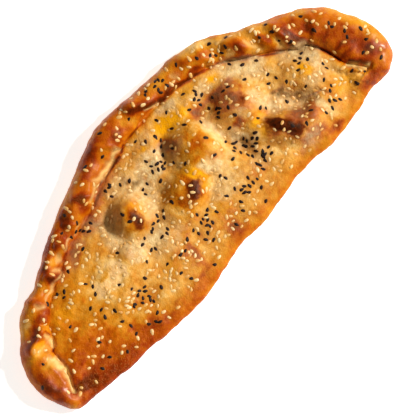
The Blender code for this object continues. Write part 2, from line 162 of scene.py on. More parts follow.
def through(rows, places):
    """A closed smooth curve through rows of numbers, read at places counted in rows."""
    first = np.floor(places).astype(int)
    step = (places - first)[:, None]
    before, here, after, beyond = (rows[(first + k) % len(rows)] for k in (-1, 0, 1, 2))
    return 0.5 * (2 * here + (after - before) * step
                  + (2 * before - 5 * here + 4 * after - beyond) * step ** 2
                  + (3 * here - before - 3 * after + beyond) * step ** 3)


print(len(ROLLED_RIM), "stations on the rim and", len(FOLDED_EDGE), "on the fold")

# %% [markdown]
# ## Spokes
# Sections of the bread run like spokes from its edge to a spine in its middle. The spine bends
# towards the fold at both ends, because the half moon does. A grid from above would be simpler, but
# it has too few points on the steep sides of the rim, which is where the pleats are.

# %% Lay out the spokes
EDGE_SAMPLES = 4000                 # steps in which the length of the edge is measured
SPINE_CENTRE = (-2.0, -2.0)
SPINE_HALF = 118.0                  # the spine runs this far to each side of its centre
SPINE_DROP = (25.0, 32.0)           # its left and right ends bend this far towards the fold
SPINE_EVEN = 0.35                   # 0 gathers the spokes at the spine's ends, 1 spreads them
SPINE_HEIGHT = 13.0                 # height of the pillow over the spine's centre
SPINE_END_HEIGHT = 11.0             # and over its ends
SPOKES = 900                        # about one for each millimetre of the edge


def places_along(rows, start, stop, shares):
    """Places in rows, between start and stop, at the given shares of the edge's length."""
    dense = np.linspace(start, stop, EDGE_SAMPLES)
    edge = through(rows, dense)[:, :2]
    lengths = np.append(0.0, np.cumsum(np.linalg.norm(np.diff(edge, axis=0), axis=1)))
    return np.interp(shares * lengths[-1], lengths, dense)


def spokes(count):
    """For each spoke: edge (x, y), crease (x, y), crest, roll, and the spine's x, y and height."""
    rows = stations()
    half = count // 2
    share = np.arange(half + 1) / half
    along = (1 - SPINE_EVEN) * (1 - np.cos(math.pi * share)) / 2 + SPINE_EVEN * share
    rim_end = len(ROLLED_RIM) - 1
    rolled = places_along(rows, 0, rim_end, share)
    folded = places_along(rows, rim_end, len(rows), along)
    data = through(rows, np.append(rolled, folded[1:-1]))
    data[:, 5] = np.clip(data[:, 5], 0, 1)
    across = np.append(along, along[::-1][1:-1]) * 2 - 1
    spine_x = SPINE_CENTRE[0] + SPINE_HALF * across
    spine_y = SPINE_CENTRE[1] - np.where(across < 0, *SPINE_DROP) * across ** 2
    spine_z = SPINE_HEIGHT + (SPINE_END_HEIGHT - SPINE_HEIGHT) * across ** 2
    return np.column_stack([data, spine_x, spine_y, spine_z])


spoke_data = spokes(SPOKES)
edge_steps = np.linalg.norm(np.diff(spoke_data[:, :2], axis=0), axis=1)
print(SPOKES, "spokes, at most", round(edge_steps.max(), 2), "mm apart on the edge")

# %% [markdown]
# ## Sections
# A section is read at angles round the rim, from the foot over the crest and down into the crease,
# and then at shares of the way across the pillow. Rounded dough has a foot that is tucked under and
# a crest nearer its outer side. A swept circle would look like a tube; unlike arcs do not.

# %% Rings round the rim
FOLD_FOOT = 5.0                     # how far the folded edge overhangs its foot
FOLD_WIDEST = 0.45                  # it is widest at this share of its height
FOLD_ROUND = 0.7                    # it is rounded over this share of its inset
FOLD_LEVEL = 0.95                   # and has this share of its height there
CREASE_HEIGHT = 10.5                # height of the pillow beside the rolled rim
CREASE_DIP = 1.6                    # depth of the valley that follows the crease
WIDEST = 0.42                       # the roll is widest at this share of its height
CREST = 0.46                        # its crest lies at this share of its width
FOOT = 0.32                         # its foot lies this share of its width in from the edge
BLISTER_ANGLES = (0, 140)           # blisters of the folded edge set in between these angles
PLEAT_ANGLES = (-80, 10)            # and the rim's pleats between these
UNDER_RINGS = 7                     # rings from the foot to where the roll is widest
OVER_RINGS = 36                     # and from there over the crest into the crease


def ease(low, high, value):
    """0 below low, 1 above high, and a smooth step between them."""
    share = np.clip((value - low) / (high - low), 0, 1)
    return share * share * (3 - 2 * share)


def rim_ring(data, angle):
    """Points of one ring round the rim, and how fully each takes blisters and pleats."""
    edge, crease, crest, roll = data[:, 0:2], data[:, 2:4], data[:, 4], data[:, 5]
    width = np.linalg.norm(crease - edge, axis=1)
    turn = math.radians(angle)
    valley = CREASE_HEIGHT - CREASE_DIP
    if angle <= 0:
        inward = FOOT * width * (1 - math.cos(turn))
        height = WIDEST * crest * (1 + math.sin(turn))
        fold_inward = FOLD_FOOT * (1 - math.cos(turn))
        fold_height = FOLD_WIDEST * FOLD_HEIGHT * (1 + math.sin(turn))
    elif angle <= 90:
        inward = CREST * width * (1 - math.cos(turn))
        height = crest * (WIDEST + (1 - WIDEST) * math.sin(turn))
        fold_inward = FOLD_ROUND * FOLD_INSET * (1 - math.cos(turn))
        fold_height = FOLD_HEIGHT * (FOLD_WIDEST + (FOLD_LEVEL - FOLD_WIDEST) * math.sin(turn))
    else:
        past = turn - math.pi / 2
        inward = width * (CREST + (1 - CREST) * math.sin(past))
        height = valley + (crest - valley) * math.cos(past)
        flat = (angle - 90) / 90
        fold_inward = FOLD_INSET * (FOLD_ROUND + (1 - FOLD_ROUND) * flat)
        fold_height = FOLD_HEIGHT * (FOLD_LEVEL + (1 - FOLD_LEVEL) * flat)
    inward = roll * inward + (1 - roll) * fold_inward
    height = roll * height + (1 - roll) * fold_height
    direction = (crease - edge) / width[:, None]
    blisters = (1 - roll) * ease(*BLISTER_ANGLES, angle)
    pleats = np.full(len(data), ease(*PLEAT_ANGLES, angle))
    return np.column_stack([edge + direction * inward[:, None], height, blisters, pleats])


under_angles = np.linspace(-90, 0, UNDER_RINGS + 1)[:-1]
rim_angles = np.append(under_angles, np.linspace(0, 180, OVER_RINGS))
rim_rings = [rim_ring(spoke_data, angle) for angle in rim_angles]
print(len(rim_rings), "rings round the rim")

# %% Rings over the pillow
CREASE_REACH = 2.4                  # how far the crease's valley reaches into the pillow
PLEAT_REACH = 6.0                   # how far the rim's pleats reach into it
PILLOW_STEPS = 45                   # steps from the crease to the spine


def pillow_ring(data, share):
    """Points of one ring at a share of the way from the crease to the spine, as rim_ring."""
    crease, roll, spine = data[:, 2:4], data[:, 5], data[:, 6:8]
    away = np.linalg.norm(spine - crease, axis=1) * share
    low = roll * CREASE_HEIGHT + (1 - roll) * FOLD_HEIGHT
    rise = (data[:, 8] - low) * (1 - (1 - share) ** 2)
    dip = roll * CREASE_DIP * np.exp(-away / CREASE_REACH)
    blisters = 1 - roll * np.exp(-away / CREASE_REACH)
    pleats = 1 - ease(0, PLEAT_REACH, away)
    return np.column_stack([crease + (spine - crease) * share, low + rise - dip, blisters, pleats])


pillow_rings = [pillow_ring(spoke_data, step / PILLOW_STEPS) for step in range(1, PILLOW_STEPS)]
print(len(pillow_rings), "rings over the pillow")

# %% The bottom, the spine and all points together
BOTTOM_SHARE = 0.55                 # the bottom's ring lies this share of the way to the spine

bottom = rim_rings[0].copy()
bottom[:, :2] += (spoke_data[:, 6:8] - bottom[:, :2]) * BOTTOM_SHARE
rings = [bottom] + rim_rings + pillow_rings
top = pillow_ring(spoke_data, 1.0)[:SPOKES // 2 + 1]
under = top * (1, 1, 0, 0, 0)
rows = np.vstack(rings + [top, under])
takes_blisters, takes_pleats = rows[:, 3], rows[:, 4]
print(len(rings), "rings,", len(rows), "points")

# %% [markdown]
# ## One closed skin
# The rings are joined by strips of four-sided faces, and the last ring closes on the spine, above
# and below. A skin that closes on itself can be exported and printed, so no lid or patch is laid
# over a hole.

# %% Join the rings


def strip(first, second):
    """Quads between two closed rows of point numbers."""
    count = len(first)
    return [(first[i], first[(i + 1) % count], second[(i + 1) % count], second[i])
            for i in range(count)]


def without_repeats(face):
    """A face without corners that are named twice, as at the ends of the spine."""
    return tuple(corner for k, corner in enumerate(face) if corner != face[k - 1])


def skin_faces(ring_count):
    """Faces of the closed skin: bottom, rim and pillow in one run of strips."""
    numbers = [list(range(k * SPOKES, (k + 1) * SPOKES)) for k in range(ring_count)]
    spine = [ring_count * SPOKES + min(i, SPOKES - i) for i in range(SPOKES)]
    spine_under = [point + SPOKES // 2 + 1 for point in spine]
    faces = strip(spine_under, numbers[0]) + strip(numbers[-1], spine)
    for inner, outer in zip(numbers, numbers[1:]):
        faces += strip(inner, outer)
    return [without_repeats(face) for face in faces]


faces = skin_faces(len(rings))
print(len(faces), "faces")

# %% [markdown]
# ## Blisters, hollows and pleats
# Steam lifts the thin top into blisters, and between them the dough sinks. Each blister is a
# rounded hill with its own place, length, width, turn and height. Where the baker's fingers pinched
# the rim there are grooves, with fat bulges between. Sculpting by hand gives the same look, but
# hills and strokes with sizes can be read and changed. All of them are carried a little sideways by
# noise, so that none is a true oval.

# %% Hills and strokes


def hills(x, y, spots, crown=1.0):
    """Sum of rounded hills: x, y, half length, half width, turn in degrees, height."""
    total = np.zeros_like(x)
    for centre_x, centre_y, half_length, half_width, turn, height in spots:
        c, s = math.cos(math.radians(turn)), math.sin(math.radians(turn))
        along = ((x - centre_x) * c + (y - centre_y) * s) / half_length
        across = ((y - centre_y) * c - (x - centre_x) * s) / half_width
        away = np.minimum(np.hypot(along, across), 1) ** crown
        total += height * (0.5 + 0.5 * np.cos(math.pi * away))
    return total


def strokes(x, y, lines, pinch, fade):
    """Sum of strokes: start (x, y), end (x, y), half width, depth. Each fades out at its ends."""
    total = np.zeros_like(x)
    for x1, y1, x2, y2, half_width, depth in lines:
        dx, dy = x2 - x1, y2 - y1
        along = ((x - x1) * dx + (y - y1) * dy) / (dx * dx + dy * dy)
        nearest = np.clip(along, 0, 1)
        away = np.hypot(x - x1 - nearest * dx, y - y1 - nearest * dy)
        ends = 1 - (2 * nearest - 1) ** fade
        total += depth * ends * np.exp(-(away / half_width) ** pinch)
    return total


print("halfway down, a hill is", hills(np.array([0.5]), np.zeros(1), [(0, 0, 1, 1, 0, 1)])[0], "high")

# %% [markdown]
# Noise gives the unevenness that no list can: it carries places sideways, and it lumps the
# dough. Many of the spots below were read from the picture, where a high point shows a little
# further off than it stands, so places are also worked out as the camera sees them.

# %% Unevenness, and places in the picture
WANDER_SIZE = 22.0                  # breadth of the sideways drift, and its reach
WANDER_REACH = 4.5
WANDER_LAYERS = (0.5, 8.5)          # heights in the noise where the two shifts are read
PICTURE_HEIGHT = 10.0               # places read from the picture are true at this height
PICTURE_SHIFT = (0.5, 0.4)          # and there they are shifted by this much


def wander(x, y, size, reach):
    """Places carried sideways by the dough's unevenness."""
    places = list(zip(x / size, y / size))
    shift_x, shift_y = (np.array([noise.noise((u, v, layer)) for u, v in places])
                        for layer in WANDER_LAYERS)
    return x + shift_x * reach, y + shift_y * reach


def lumps(points, layers):
    """Unevenness of the dough at each point: layers of a breadth and a height."""
    total = np.zeros(len(points))
    for size, height in layers:
        turn = Matrix.Rotation(size, 3, (1, 1, 1)) * (1 / size)
        total += height * np.array([noise.noise(turn @ Vector(p)) for p in points])
    return total


def in_picture(places):
    """Places as the camera sees them."""
    lean = to_camera / to_camera.z
    rise = places[:, 2] - PICTURE_HEIGHT
    shown = places[:, :2] - rise[:, None] * (lean.x, lean.y)
    return shown[:, 0] + PICTURE_SHIFT[0], shown[:, 1] + PICTURE_SHIFT[1]


drift_x, drift_y = wander(rows[:, 0], rows[:, 1], WANDER_SIZE, WANDER_REACH)
drift = np.hypot(drift_x - rows[:, 0], drift_y - rows[:, 1])
print("the dough drifts up to", round(drift.max(), 1), "mm")

# %% The pillow's blisters and hollows
BLISTERS = [
    (-35, 7, 20, 17, 110, 9.6), (25, 6, 25, 20, 60, 10.4), (-1, -8, 24, 17, 12, 6.5),
    (65, 4, 22, 19, 100, 9), (64, -22, 18, 12, -40, 5), (79, -35, 26, 15, -35, 9.5),
    (98, -39, 15, 14, 20, 4), (106, -17, 22, 18, -60, 4), (-53, -9, 15, 11, 10, 2.2),
    (-20, 6, 15, 12, 0, -3), (-11, 18, 20, 12, 20, -1.6), (43, -13, 24, 9, 95, -3.2),
    (91, -20, 20, 9, -46, -4.2), (40, 31, 30, 11, -8, 2.2), (6, 31, 14, 10, 0, 1.8),
    (-75, -14, 30, 20, 15, 2), (-104, 2, 26, 15, 20, 1.4), (-40, -38, 26, 14, 10, 1.6),
    (18, -31, 28, 13, 0, 1.4), (54, -42, 18, 11, 0, 1.2), (130, -49, 16, 11, -12, 5),
    (130, -37, 17, 8, -50, 3.2), (-46, 13.5, 11, 8, 60, -1.8), (10, 18, 14, 7, 35, -2.2),
    (-78, 17, 30, 10, 20, -1.2),
]
BLISTER_CROWN = 1.4                 # 1 gives a bell, more gives a flatter top with steeper sides
blister_height = hills(drift_x, drift_y, BLISTERS, BLISTER_CROWN)
print(len(BLISTERS), "blisters and hollows, up to", round(blister_height.max(), 1), "mm")

# %% The rim's grooves and bulges
GROOVE_PINCH = 1.5                  # 1 gives a sharp crimp, 2 a rounded furrow
GROOVE_FADE = 4                     # the larger, the shorter the stretch where a groove fades
GROOVES = [
    (-148, -1.5, -126, 5.5, 4.2, 3.8), (-126, 5.5, -115, 12, 3.4, 2.4), (-145, -14, -145, -34, 2.6, 1),
    (-121, 24, -114, 11, 3, 2), (-102, 26, -96, 16, 3, 2.8), (-84, 32, -77, 22, 3.2, 2.6),
    (-70, 39, -62, 29, 2.8, 1.6), (-55, 44, -42, 33, 3.2, 2.2), (-24, 54, -6, 43, 2.6, 1.4),
    (13, 56, 33, 42.5, 3.6, 2.8), (31, 44, 68, 35, 3.2, 2.4), (56, 51, 76, 31, 3.4, 1.6),
    (88, 36, 95, 17, 4.8, 3), (104, 30, 108.5, 8, 4, 1.4), (114, 24, 121.5, -3, 5, 3.4),
    (137, 10, 127, -8, 3.6, 1.6), (133, -32, 138, -42, 1.8, 0.8),
]
BULGES = [
    (-137, -4.5, 11, 7, 20, 1.8), (-134, 12.5, 12, 8, 35, 1.2), (-109, 21, 11, 9, 20, 1.4),
    (-91, 24, 10, 8, 30, 1.6), (-72, 34, 12, 9, 30, 1.2), (-24, 42, 19, 8, 12, 1.4),
    (9, 50, 14, 9, -25, 1.6), (44, 50, 20, 8, -10, 1.2), (80, 38, 11, 10, -60, 1.6),
    (100, 24, 12, 7, -75, 2), (112, 15, 12, 6, -75, 1.6), (127, 6, 12, 8, -60, 1.8),
    (147, -30, 26, 16, -80, 2.4),
]
groove_depth = strokes(drift_x, drift_y, GROOVES, GROOVE_PINCH, GROOVE_FADE)
pleat_height = (hills(drift_x, drift_y, BULGES) - groove_depth) * takes_pleats
print(len(GROOVES), "grooves, up to", round(groove_depth.max(), 1), "mm deep")

# %% [markdown]
# ## Lips of dough
# Here and there the rolled edge ends in a thin lip, where one layer of dough was pulled over the
# next. A lip is a low ridge with a soft cross-section. Loose flaps of dough would be truer
# underneath, but from outside only their raised pale edge shows, so they are ridges in the skin.

# %% Ridges of the lips
LIPS = [
    (-128, 2, -128, -3, 1.4, 0.8), (-128, -2.5, -131.5, -9.5, 1.6, 1.1),
    (-142, -12, -136.5, -13.5, 1.8, 0.8), (-137, -13, -135.6, -22, 2.2, 1.4),
    (-135.8, -21, -139.5, -30.5, 1.9, 1.3), (-139.5, -29.5, -145.5, -38.5, 1.5, 0.9),
    (-121, 17.5, -113, 12, 1.8, 1), (-112, 13.5, -99.5, 17.2, 1.2, 0.9),
    (-100, 17.2, -89, 19, 1.1, 0.8), (-96.5, 23.5, -89, 20.5, 1.7, 0.9),
    (-89, 27.5, -83.5, 25, 1.8, 0.7), (-81, 26, -68, 28.3, 1.1, 0.8), (-68, 28.3, -58, 31, 1.1, 0.7),
    (-45, 33.5, -32, 38.5, 1.6, 0.8), (-33, 38.8, -14, 40.8, 2, 1.2), (-16, 40.8, -5.5, 44.8, 1.8, 1),
    (22, 47.5, 33, 41.6, 1.3, 0.9), (98, 29, 101, 14, 2.2, 0.8), (112.5, 15, 113.5, 5, 1.8, 0.7),
    (129.4, -30.5, 134.6, -39.6, 2.4, 1.1), (134.2, -39, 141, -47.2, 2.4, 1),
    (118, -27, 127, -38, 2, 0.9), (124, -36, 132, -45.5, 1.8, 0.8), (104, -26, 107, -35, 1.7, 0.9),
]
LIP_PINCH = 2.0                     # a rounded ridge
LIP_WANDER = (6.0, 2.6)             # breadth and reach of the wandering of the lips
lip_places = wander(*in_picture(rows), *LIP_WANDER)
lip_height = strokes(*lip_places, LIPS, LIP_PINCH, GROOVE_FADE)
print(len(LIPS), "lips, up to", round(lip_height.max(), 1), "mm high")

# %% [markdown]
# ## Lay the relief over the skin
# Pleats, lips and lumps push the skin along its own direction, so that they also work on the steep
# sides of the rim. Blisters rise straight up, as steam lifts them. The broad lumps are the solid's
# own. Two finer layers are added here for the crust's small unevenness.

# %% Build the dough
BROAD_LUMPS = [(16.0, 1.3), (8.0, 0.7)]     # breadth and height of each layer
FINE_LUMPS = [(4.2, 0.36), (2.3, 0.19)]

points = rows[:, :3]
plain = smooth_mesh("plain", points, faces)
normals = np.array([corner.vector for corner in plain.vertex_normals])
bpy.data.meshes.remove(plain)

takes_relief = np.maximum(takes_blisters, takes_pleats)
uneven = lumps(points, BROAD_LUMPS + FINE_LUMPS) * takes_relief
pushed = pleat_height + lip_height * takes_relief + uneven
points = points + normals * pushed[:, None]
points[:, 2] += blister_height * takes_blisters
points[:, 2] = np.maximum(points[:, 2], 0)

dough_mesh = smooth_mesh("dough", points * MM, faces)
dough = add_object("dough", dough_mesh)
print("dough", tuple(round(d / MM, 1) for d in dough.dimensions), "mm")

# %% [markdown]
# ## How it baked
# Colour follows heat: the rim and the thin folded edge browned first, blister tops scorched, and
# hollows stayed pale. Oil from the filling soaked through in yellow spots. Painting a picture and
# wrapping it round would need an unwrapped surface; instead each point of the skin gets a few
# numbers, such as how far it baked, and the material turns the numbers into colour. The spots are
# given by place and size like the blisters, and noise makes their edges ragged.

# %% Ragged places for the paint
RAGGED = [(9.0, 3.0), (3.5, 1.6)]   # breadth and reach of the wandering of painted edges

shown_x, shown_y = in_picture(points)
x, y = shown_x, shown_y
for size, reach in RAGGED:
    x, y = wander(x, y, size, reach)
spine_roll = spoke_data[:len(top), 5]
roll = np.concatenate([np.tile(spoke_data[:, 5], len(rings)), spine_roll, spine_roll])
on_rim = takes_pleats * roll        # 1 on the rolled rim, 0 on the pillow and the fold
print("paint wanders up to", round(np.hypot(x - shown_x, y - shown_y).max(), 1), "mm")

# %% How far the pillow, the rim and the fold baked
PILLOW_BAKE = 0.32                  # 0 is the palest dough, 1 a dark brown
RIM_BAKE = 0.22                     # added on the rolled rim
GROOVE_BAKE = 0.07                  # added for each millimetre of a groove's depth
FOLD_ENDS = (-110.0, 0.0)           # left and right of these places the folded edge has
FOLD_BAKE = (0.34, 0.20)            # this much added, fading inwards
FOLD_FADE = (17.0, 9.0)             # over this breadth
LEFT_BAKE = 0.16                    # added towards the left end
LEFT_REACH = (-60.0, -135.0)        # none of it here, and all of it there

edge_line = spoke_data[spoke_data[:, 5] < 0.5][:, :2]
order = np.argsort(edge_line[:, 0])
fold_inset = points[:, 1] - np.interp(points[:, 0], edge_line[order, 0], edge_line[order, 1])
fold_bake = np.interp(points[:, 0], FOLD_ENDS, FOLD_BAKE)
fold_fade = np.interp(points[:, 0], FOLD_ENDS, FOLD_FADE)
fold_near = np.exp(-(np.maximum(fold_inset, 0) / fold_fade) ** 2)
browned = ease(*LEFT_REACH, points[:, 0])

bake = PILLOW_BAKE + RIM_BAKE * on_rim + GROOVE_BAKE * groove_depth * takes_pleats
bake += fold_bake * fold_near * (1 - on_rim)
bake += LEFT_BAKE * browned * (1 - on_rim)
print("the large parts baked from", round(bake.min(), 2), "to", round(bake.max(), 2))

# %% Spots that browned and spots that stayed pale, with some painted shade and light
# Most rows are browning; (17, 15), (43, 22) and (14.5, 21.5) are painted shade on the shadow sides of
# blisters.
BAKED = [
    (27, 7, 17, 12, 60, 0.3), (29, -6.5, 6.6, 5, 15, 0.42), (-33, 8, 10, 14, 100, 0.36),
    (2, -8, 23, 15, 5, 0.38), (-19, -11, 6, 5, 0, 0.26), (-115, -26, 44, 24, -8, 0.16),
    (-125, -48, 44, 10, -8, 0.06), (-60, -54, 52, 11, -3, 0.1), (3, -47, 12, 10, 0, 0.31),
    (-27, -43, 6, 15, 0, 0.24), (-29, -39, 7, 10, 0, 0.28), (-82, 18, 34, 10, 20, 0.22),
    (-50, 26, 13, 8, 20, 0.22), (-28, 33, 24, 5, 12, 0.24), (62, 12, 17, 13, 10, 0.51),
    (66, 2, 12, 12, 0, 0.25), (64, -9, 8, 6, 0, 0.3), (89, -33, 16, 10, -20, 0.74),
    (79, -47, 20, 9, -5, 0.34), (86.5, -45, 12, 7, 0, 0.38), (95, -54, 9, 5, 0, 0.35),
    (-11, 17, 6, 5, 0, 0.36), (-75, -4, 6, 4, 0, 0.34), (56, -5, 7, 6, 0, 0.62),
    (52, -7, 5, 5, 0, 0.16), (-33, -50, 5, 4, 0, 0.22), (143, -24, 32, 18, -78, 0.26),
    (146, -38, 10, 11, 0, 0.25), (134, -51, 18, 7, -10, 0.36), (127, 8, 14, 8, -50, 0.22),
    (120, 4, 5, 15, 8, 0.34), (-153, -24, 24, 8, 82, 0.34), (-64, 37.5, 11, 7, 20, 0.54),
    (-47, 39, 11, 8, 25, 0.36), (-20, 54, 26, 7, 16, 0.26), (-98, 21, 7, 4, 10, 0.2),
    (112, -36, 8.5, 7.5, -20, 0.3), (113, -47, 20, 8, -8, 0.12), (73, -12, 9, 7, 0, 0.28),
    (88, -9, 8, 5, 0, 0.4), (66, -27, 12, 9, -50, 0.32), (-72, -33, 20, 8, 0, 0.13),
    (-8, -24, 12, 8, 20, 0.16), (-110, -8, 24, 10, 0, 0.08), (-10, -35, 44, 12, 0, 0.15),
    (0, 54, 16, 6, 0, 0.12), (-95, 28, 24, 5, 20, 0.12), (-94, 28, 10, 5.5, 20, 0.26),
    (58, 48, 16, 6, -14, 0.1), (30, -50, 20, 6, 0, 0.1), (-53, -6, 7, 8, 0, 0.3),
    (0, 34, 10, 6, 0, 0.12), (-41, -31, 24, 11, 0, 0.23), (-80, -47, 28, 9, -5, 0.2),
    (-137, -39, 14, 8, -20, 0.56), (-82, 37, 20, 8, 20, 0.26), (17, 15, 11, 7, 30, 0.42),
    (-34, 48, 26, 7, 15, 0.1), (5, 60, 20, 6, 0, 0.1), (43, 22, 8, 7, 0, 0.36),
    (-1, 47.5, 12, 6, 0, 0.37), (75, -33, 9, 7, 0, 0.16), (121, -3, 7, 10, 20, 0.26),
    (-57, 22, 9, 7, 15, 0.28), (0, -38, 14, 7, 0, 0.1), (28, -41, 9, 8, 0, 0.12),
    (43, -35, 14, 7, 8, 0.18), (-72, 33, 13, 6, 20, 0.18), (-72, 21, 20, 6, 15, 0.16),
    (90, 17, 7, 4, -30, 0.22), (75, 15, 6, 7, 0, 0.26), (-36, 28, 9, 5, 10, 0.14),
    (44, 16, 5, 9, 0, 0.12), (82, -21, 10, 5, -45, 0.26), (80, -4, 8, 6, 0, 0.1),
    (3, -47, 6, 6, 0, 0.2), (107, 24, 5, 5, 0, 0.2), (115, -30, 7, 9, 0, 0.14), (-79, 0, 7, 9, 0, 0.18),
    (-88, -39, 12, 7, 0, 0.22), (-143, -9, 7, 5, 0, 0.22), (-148, -38, 8, 7, 0, 0.2),
    (-148, 1, 14, 5, 35, 0.12), (100, -32, 5, 5, 0, 0.16), (-100, 7, 17, 9, 12, 0.12),
    (-10, 0, 9, 4, 20, 0.12), (14.5, 21.5, 8.5, 7, 15, 0.62), (-15, 27, 8, 5, 10, 0.14),
    (97, -13, 12, 6, -10, 0.15), (136, -38, 10, 4, -55, 0.3), (127, -38, 6, 9, -50, 0.14),
    (-30, -24, 10, 6, 0, 0.08), (-150, -30, 14, 7, 80, 0.12), (74, 43, 8, 5, -20, 0.22),
    (22, 50, 5, 5, 0, 0.18),
]
PALE = [
    (-76, -8, 21, 13, 0, 0.54), (88, 10, 22, 11, -35, 0.14), (117, -9, 17, 9, 100, 0.1),
    (39.5, 5, 20, 5, 95, 0.28), (101, -40, 15, 4, 100, 0.16), (22, -18, 18, 10, 0, 0.16),
    (-46, -3, 11, 10, 40, 0.18), (60, 28, 22, 5, -14, 0.2), (80, 2, 14, 10, 0, 0.1),
    # (155, -18) is painted light: the knob's outer slope that faces the sun is paler.
    (-50, -14, 16, 9, 0, 0.08), (155, -18, 34, 7, 100, 0.2), (80, 44, 30, 7, -30, 0.22),
    (107, 27, 26, 8, -36, 0.22), (135, 13, 16, 6, -40, 0.14), (45, 52, 18, 6, -8, 0.14),
    (6, 52, 8, 8, 0, 0.1), (85, 31, 8, 7, 0, 0.26), (100, 22, 8, 12, 0, 0.14),
    (112, 10, 4.3, 9, 0, 0.45), (-88, 26, 6, 5, 0, 0.16), (-148, -5, 12, 6, 30, 0.08),
    (-138, -3, 10, 5, 10, 0.14), (-132, 13, 10, 5, 0, 0.2), (-141, -14, 8, 9, 80, 0.3),
    (115, 18, 12, 9, -40, 0.1), (66, 42, 14, 9, -20, 0.2), (-82, 29, 6, 5, 20, 0.16),
    (-46, 33, 8, 5, 20, 0.14), (-48, 44, 6, 5, 0, 0.12), (95, 17, 15, 7, -38, 0.18),
    # (-45, 17) is painted light in the left blister's shadow, which softens it.
    (28, 37, 14, 8, -5, 0.46), (76, 48, 16, 6, -25, 0.24), (-45, 17, 6, 8, 20, 0.16),
    (55, -17, 5, 6, 0, 0.28), (10, 3, 8, 6, 0, 0.14), (-12, -8, 9, 9, 0, 0.16),
    (17, -30, 10, 8, 0, 0.1), (35, 36, 5, 6, 0, 0.26), (72, 34, 6, 4, -25, 0.24),
    (-86, -18, 6, 9, 0, 0.16), (-125, 3, 6, 8, 0, 0.2), (14, 50, 5, 5, 0, 0.14),
    (-62, -16, 8, 6, 0, 0.1),
]
bake += hills(x, y, BAKED) - hills(x, y, PALE)
print("baked from", round(bake.min(), 2), "to", round(bake.max(), 2))

# %% [markdown]
# The dough browned in its crimps. The dark lines where the roll meets the pillow, under the lips
# and along a few hollows are painted shade, where the dough beside them shadows the crease. Both
# are painted as strokes, like the grooves. The dark line is so fine that it is laid without
# wandering.

# %% Crimps, and painted shade in the crevices
CRIMPS = [
    (-143, 1, -131, 5, 2.6, 0.2), (-132, 4.5, -118, 9.5, 2.6, 0.22), (-86, 22.5, -80, 24.5, 1.4, 0.24),
    (14, 55, 22, 48.5, 2.2, 0.4), (21, 49, 32, 43.5, 1.8, 0.4), (31, 43.5, 53, 41, 1.6, 0.36),
    (51, 41.5, 70, 36, 1.3, 0.28), (71, 35.5, 82, 28.5, 1, 0.2), (82, 28, 96, 15.5, 1.6, 0.34),
    (91, 33, 93, 20, 2.4, 0.24), (107, 25, 109, 15, 2, 0.2), (118, 20, 119, 3, 2.4, 0.16),
    (134, 6, 129, -3, 2.6, 0.22), (142, -8, 130, -13, 1.4, 0.18), (142, -19, 130, -23, 1.4, 0.18),
    (141, -27, 131, -29, 1.4, 0.18), (-101, 20, -95, 21.5, 1.8, 0.3),
]
# Painted shade: dark lines in the crease under the roll and the lips, and along a few hollows.
CREASE_SHADE_LINES = [
    (-46, 29.5, -33, 36, 0.8, 0.5), (-33.5, 36.3, -20, 38, 0.8, 0.75), (-21, 38, -9, 38.8, 0.8, 0.8),
    (-9, 39, -2, 42.5, 0.7, 0.5), (-2, 42.5, 30, 42.5, 0.6, 0.35), (30, 42.5, 55, 39.5, 0.9, 0.4),
    (55, 39, 70, 32.8, 0.8, 0.5), (69, 33, 80, 28.2, 0.8, 0.5), (79, 29, 92, 18, 1, 0.7),
    (91, 18.5, 104, 8, 0.9, 0.5), (103, 8.5, 112, 1.5, 0.9, 0.6), (111, 2.5, 121, -4, 1, 0.8),
    (120, -3, 126.5, -12, 1.2, 0.85), (126, -11, 128.5, -21, 1, 0.75),
    (128.4, -20, 129.2, -29, 0.9, 0.6), (131.8, -32, 135.5, -38, 0.8, 0.6),
    (106, -30, 109.5, -38, 0.8, 0.6), (-133.6, -11, -133.6, -21.5, 0.6, 0.12),
    (-133.6, -20.5, -137.4, -31, 0.6, 0.12), (-137, -30, -144, -39, 0.6, 0.1),
    (92, -24.5, 107, -31.5, 0.9, 0.55), (40, 21.5, 62, 18.5, 2.6, 0.34), (60, 18.5, 78, 19, 2.2, 0.3),
    (84, -7, 94, -20, 2.6, 0.16), (-131, -9.5, -134, -11, 0.8, 0.4),
    (-126.4, 2.5, -126.4, -3, 0.6, 0.3),
]
LINE_FADE = 6                       # painted lines fade nearer their ends than grooves do
bake += strokes(x, y, CRIMPS, LIP_PINCH, LINE_FADE)
# the crevices' painted shade
bake += strokes(shown_x, shown_y, CREASE_SHADE_LINES, LIP_PINCH, LINE_FADE)
paint = {"bake": bake}
print(len(CRIMPS), "crimps and", len(CREASE_SHADE_LINES), "crevices")

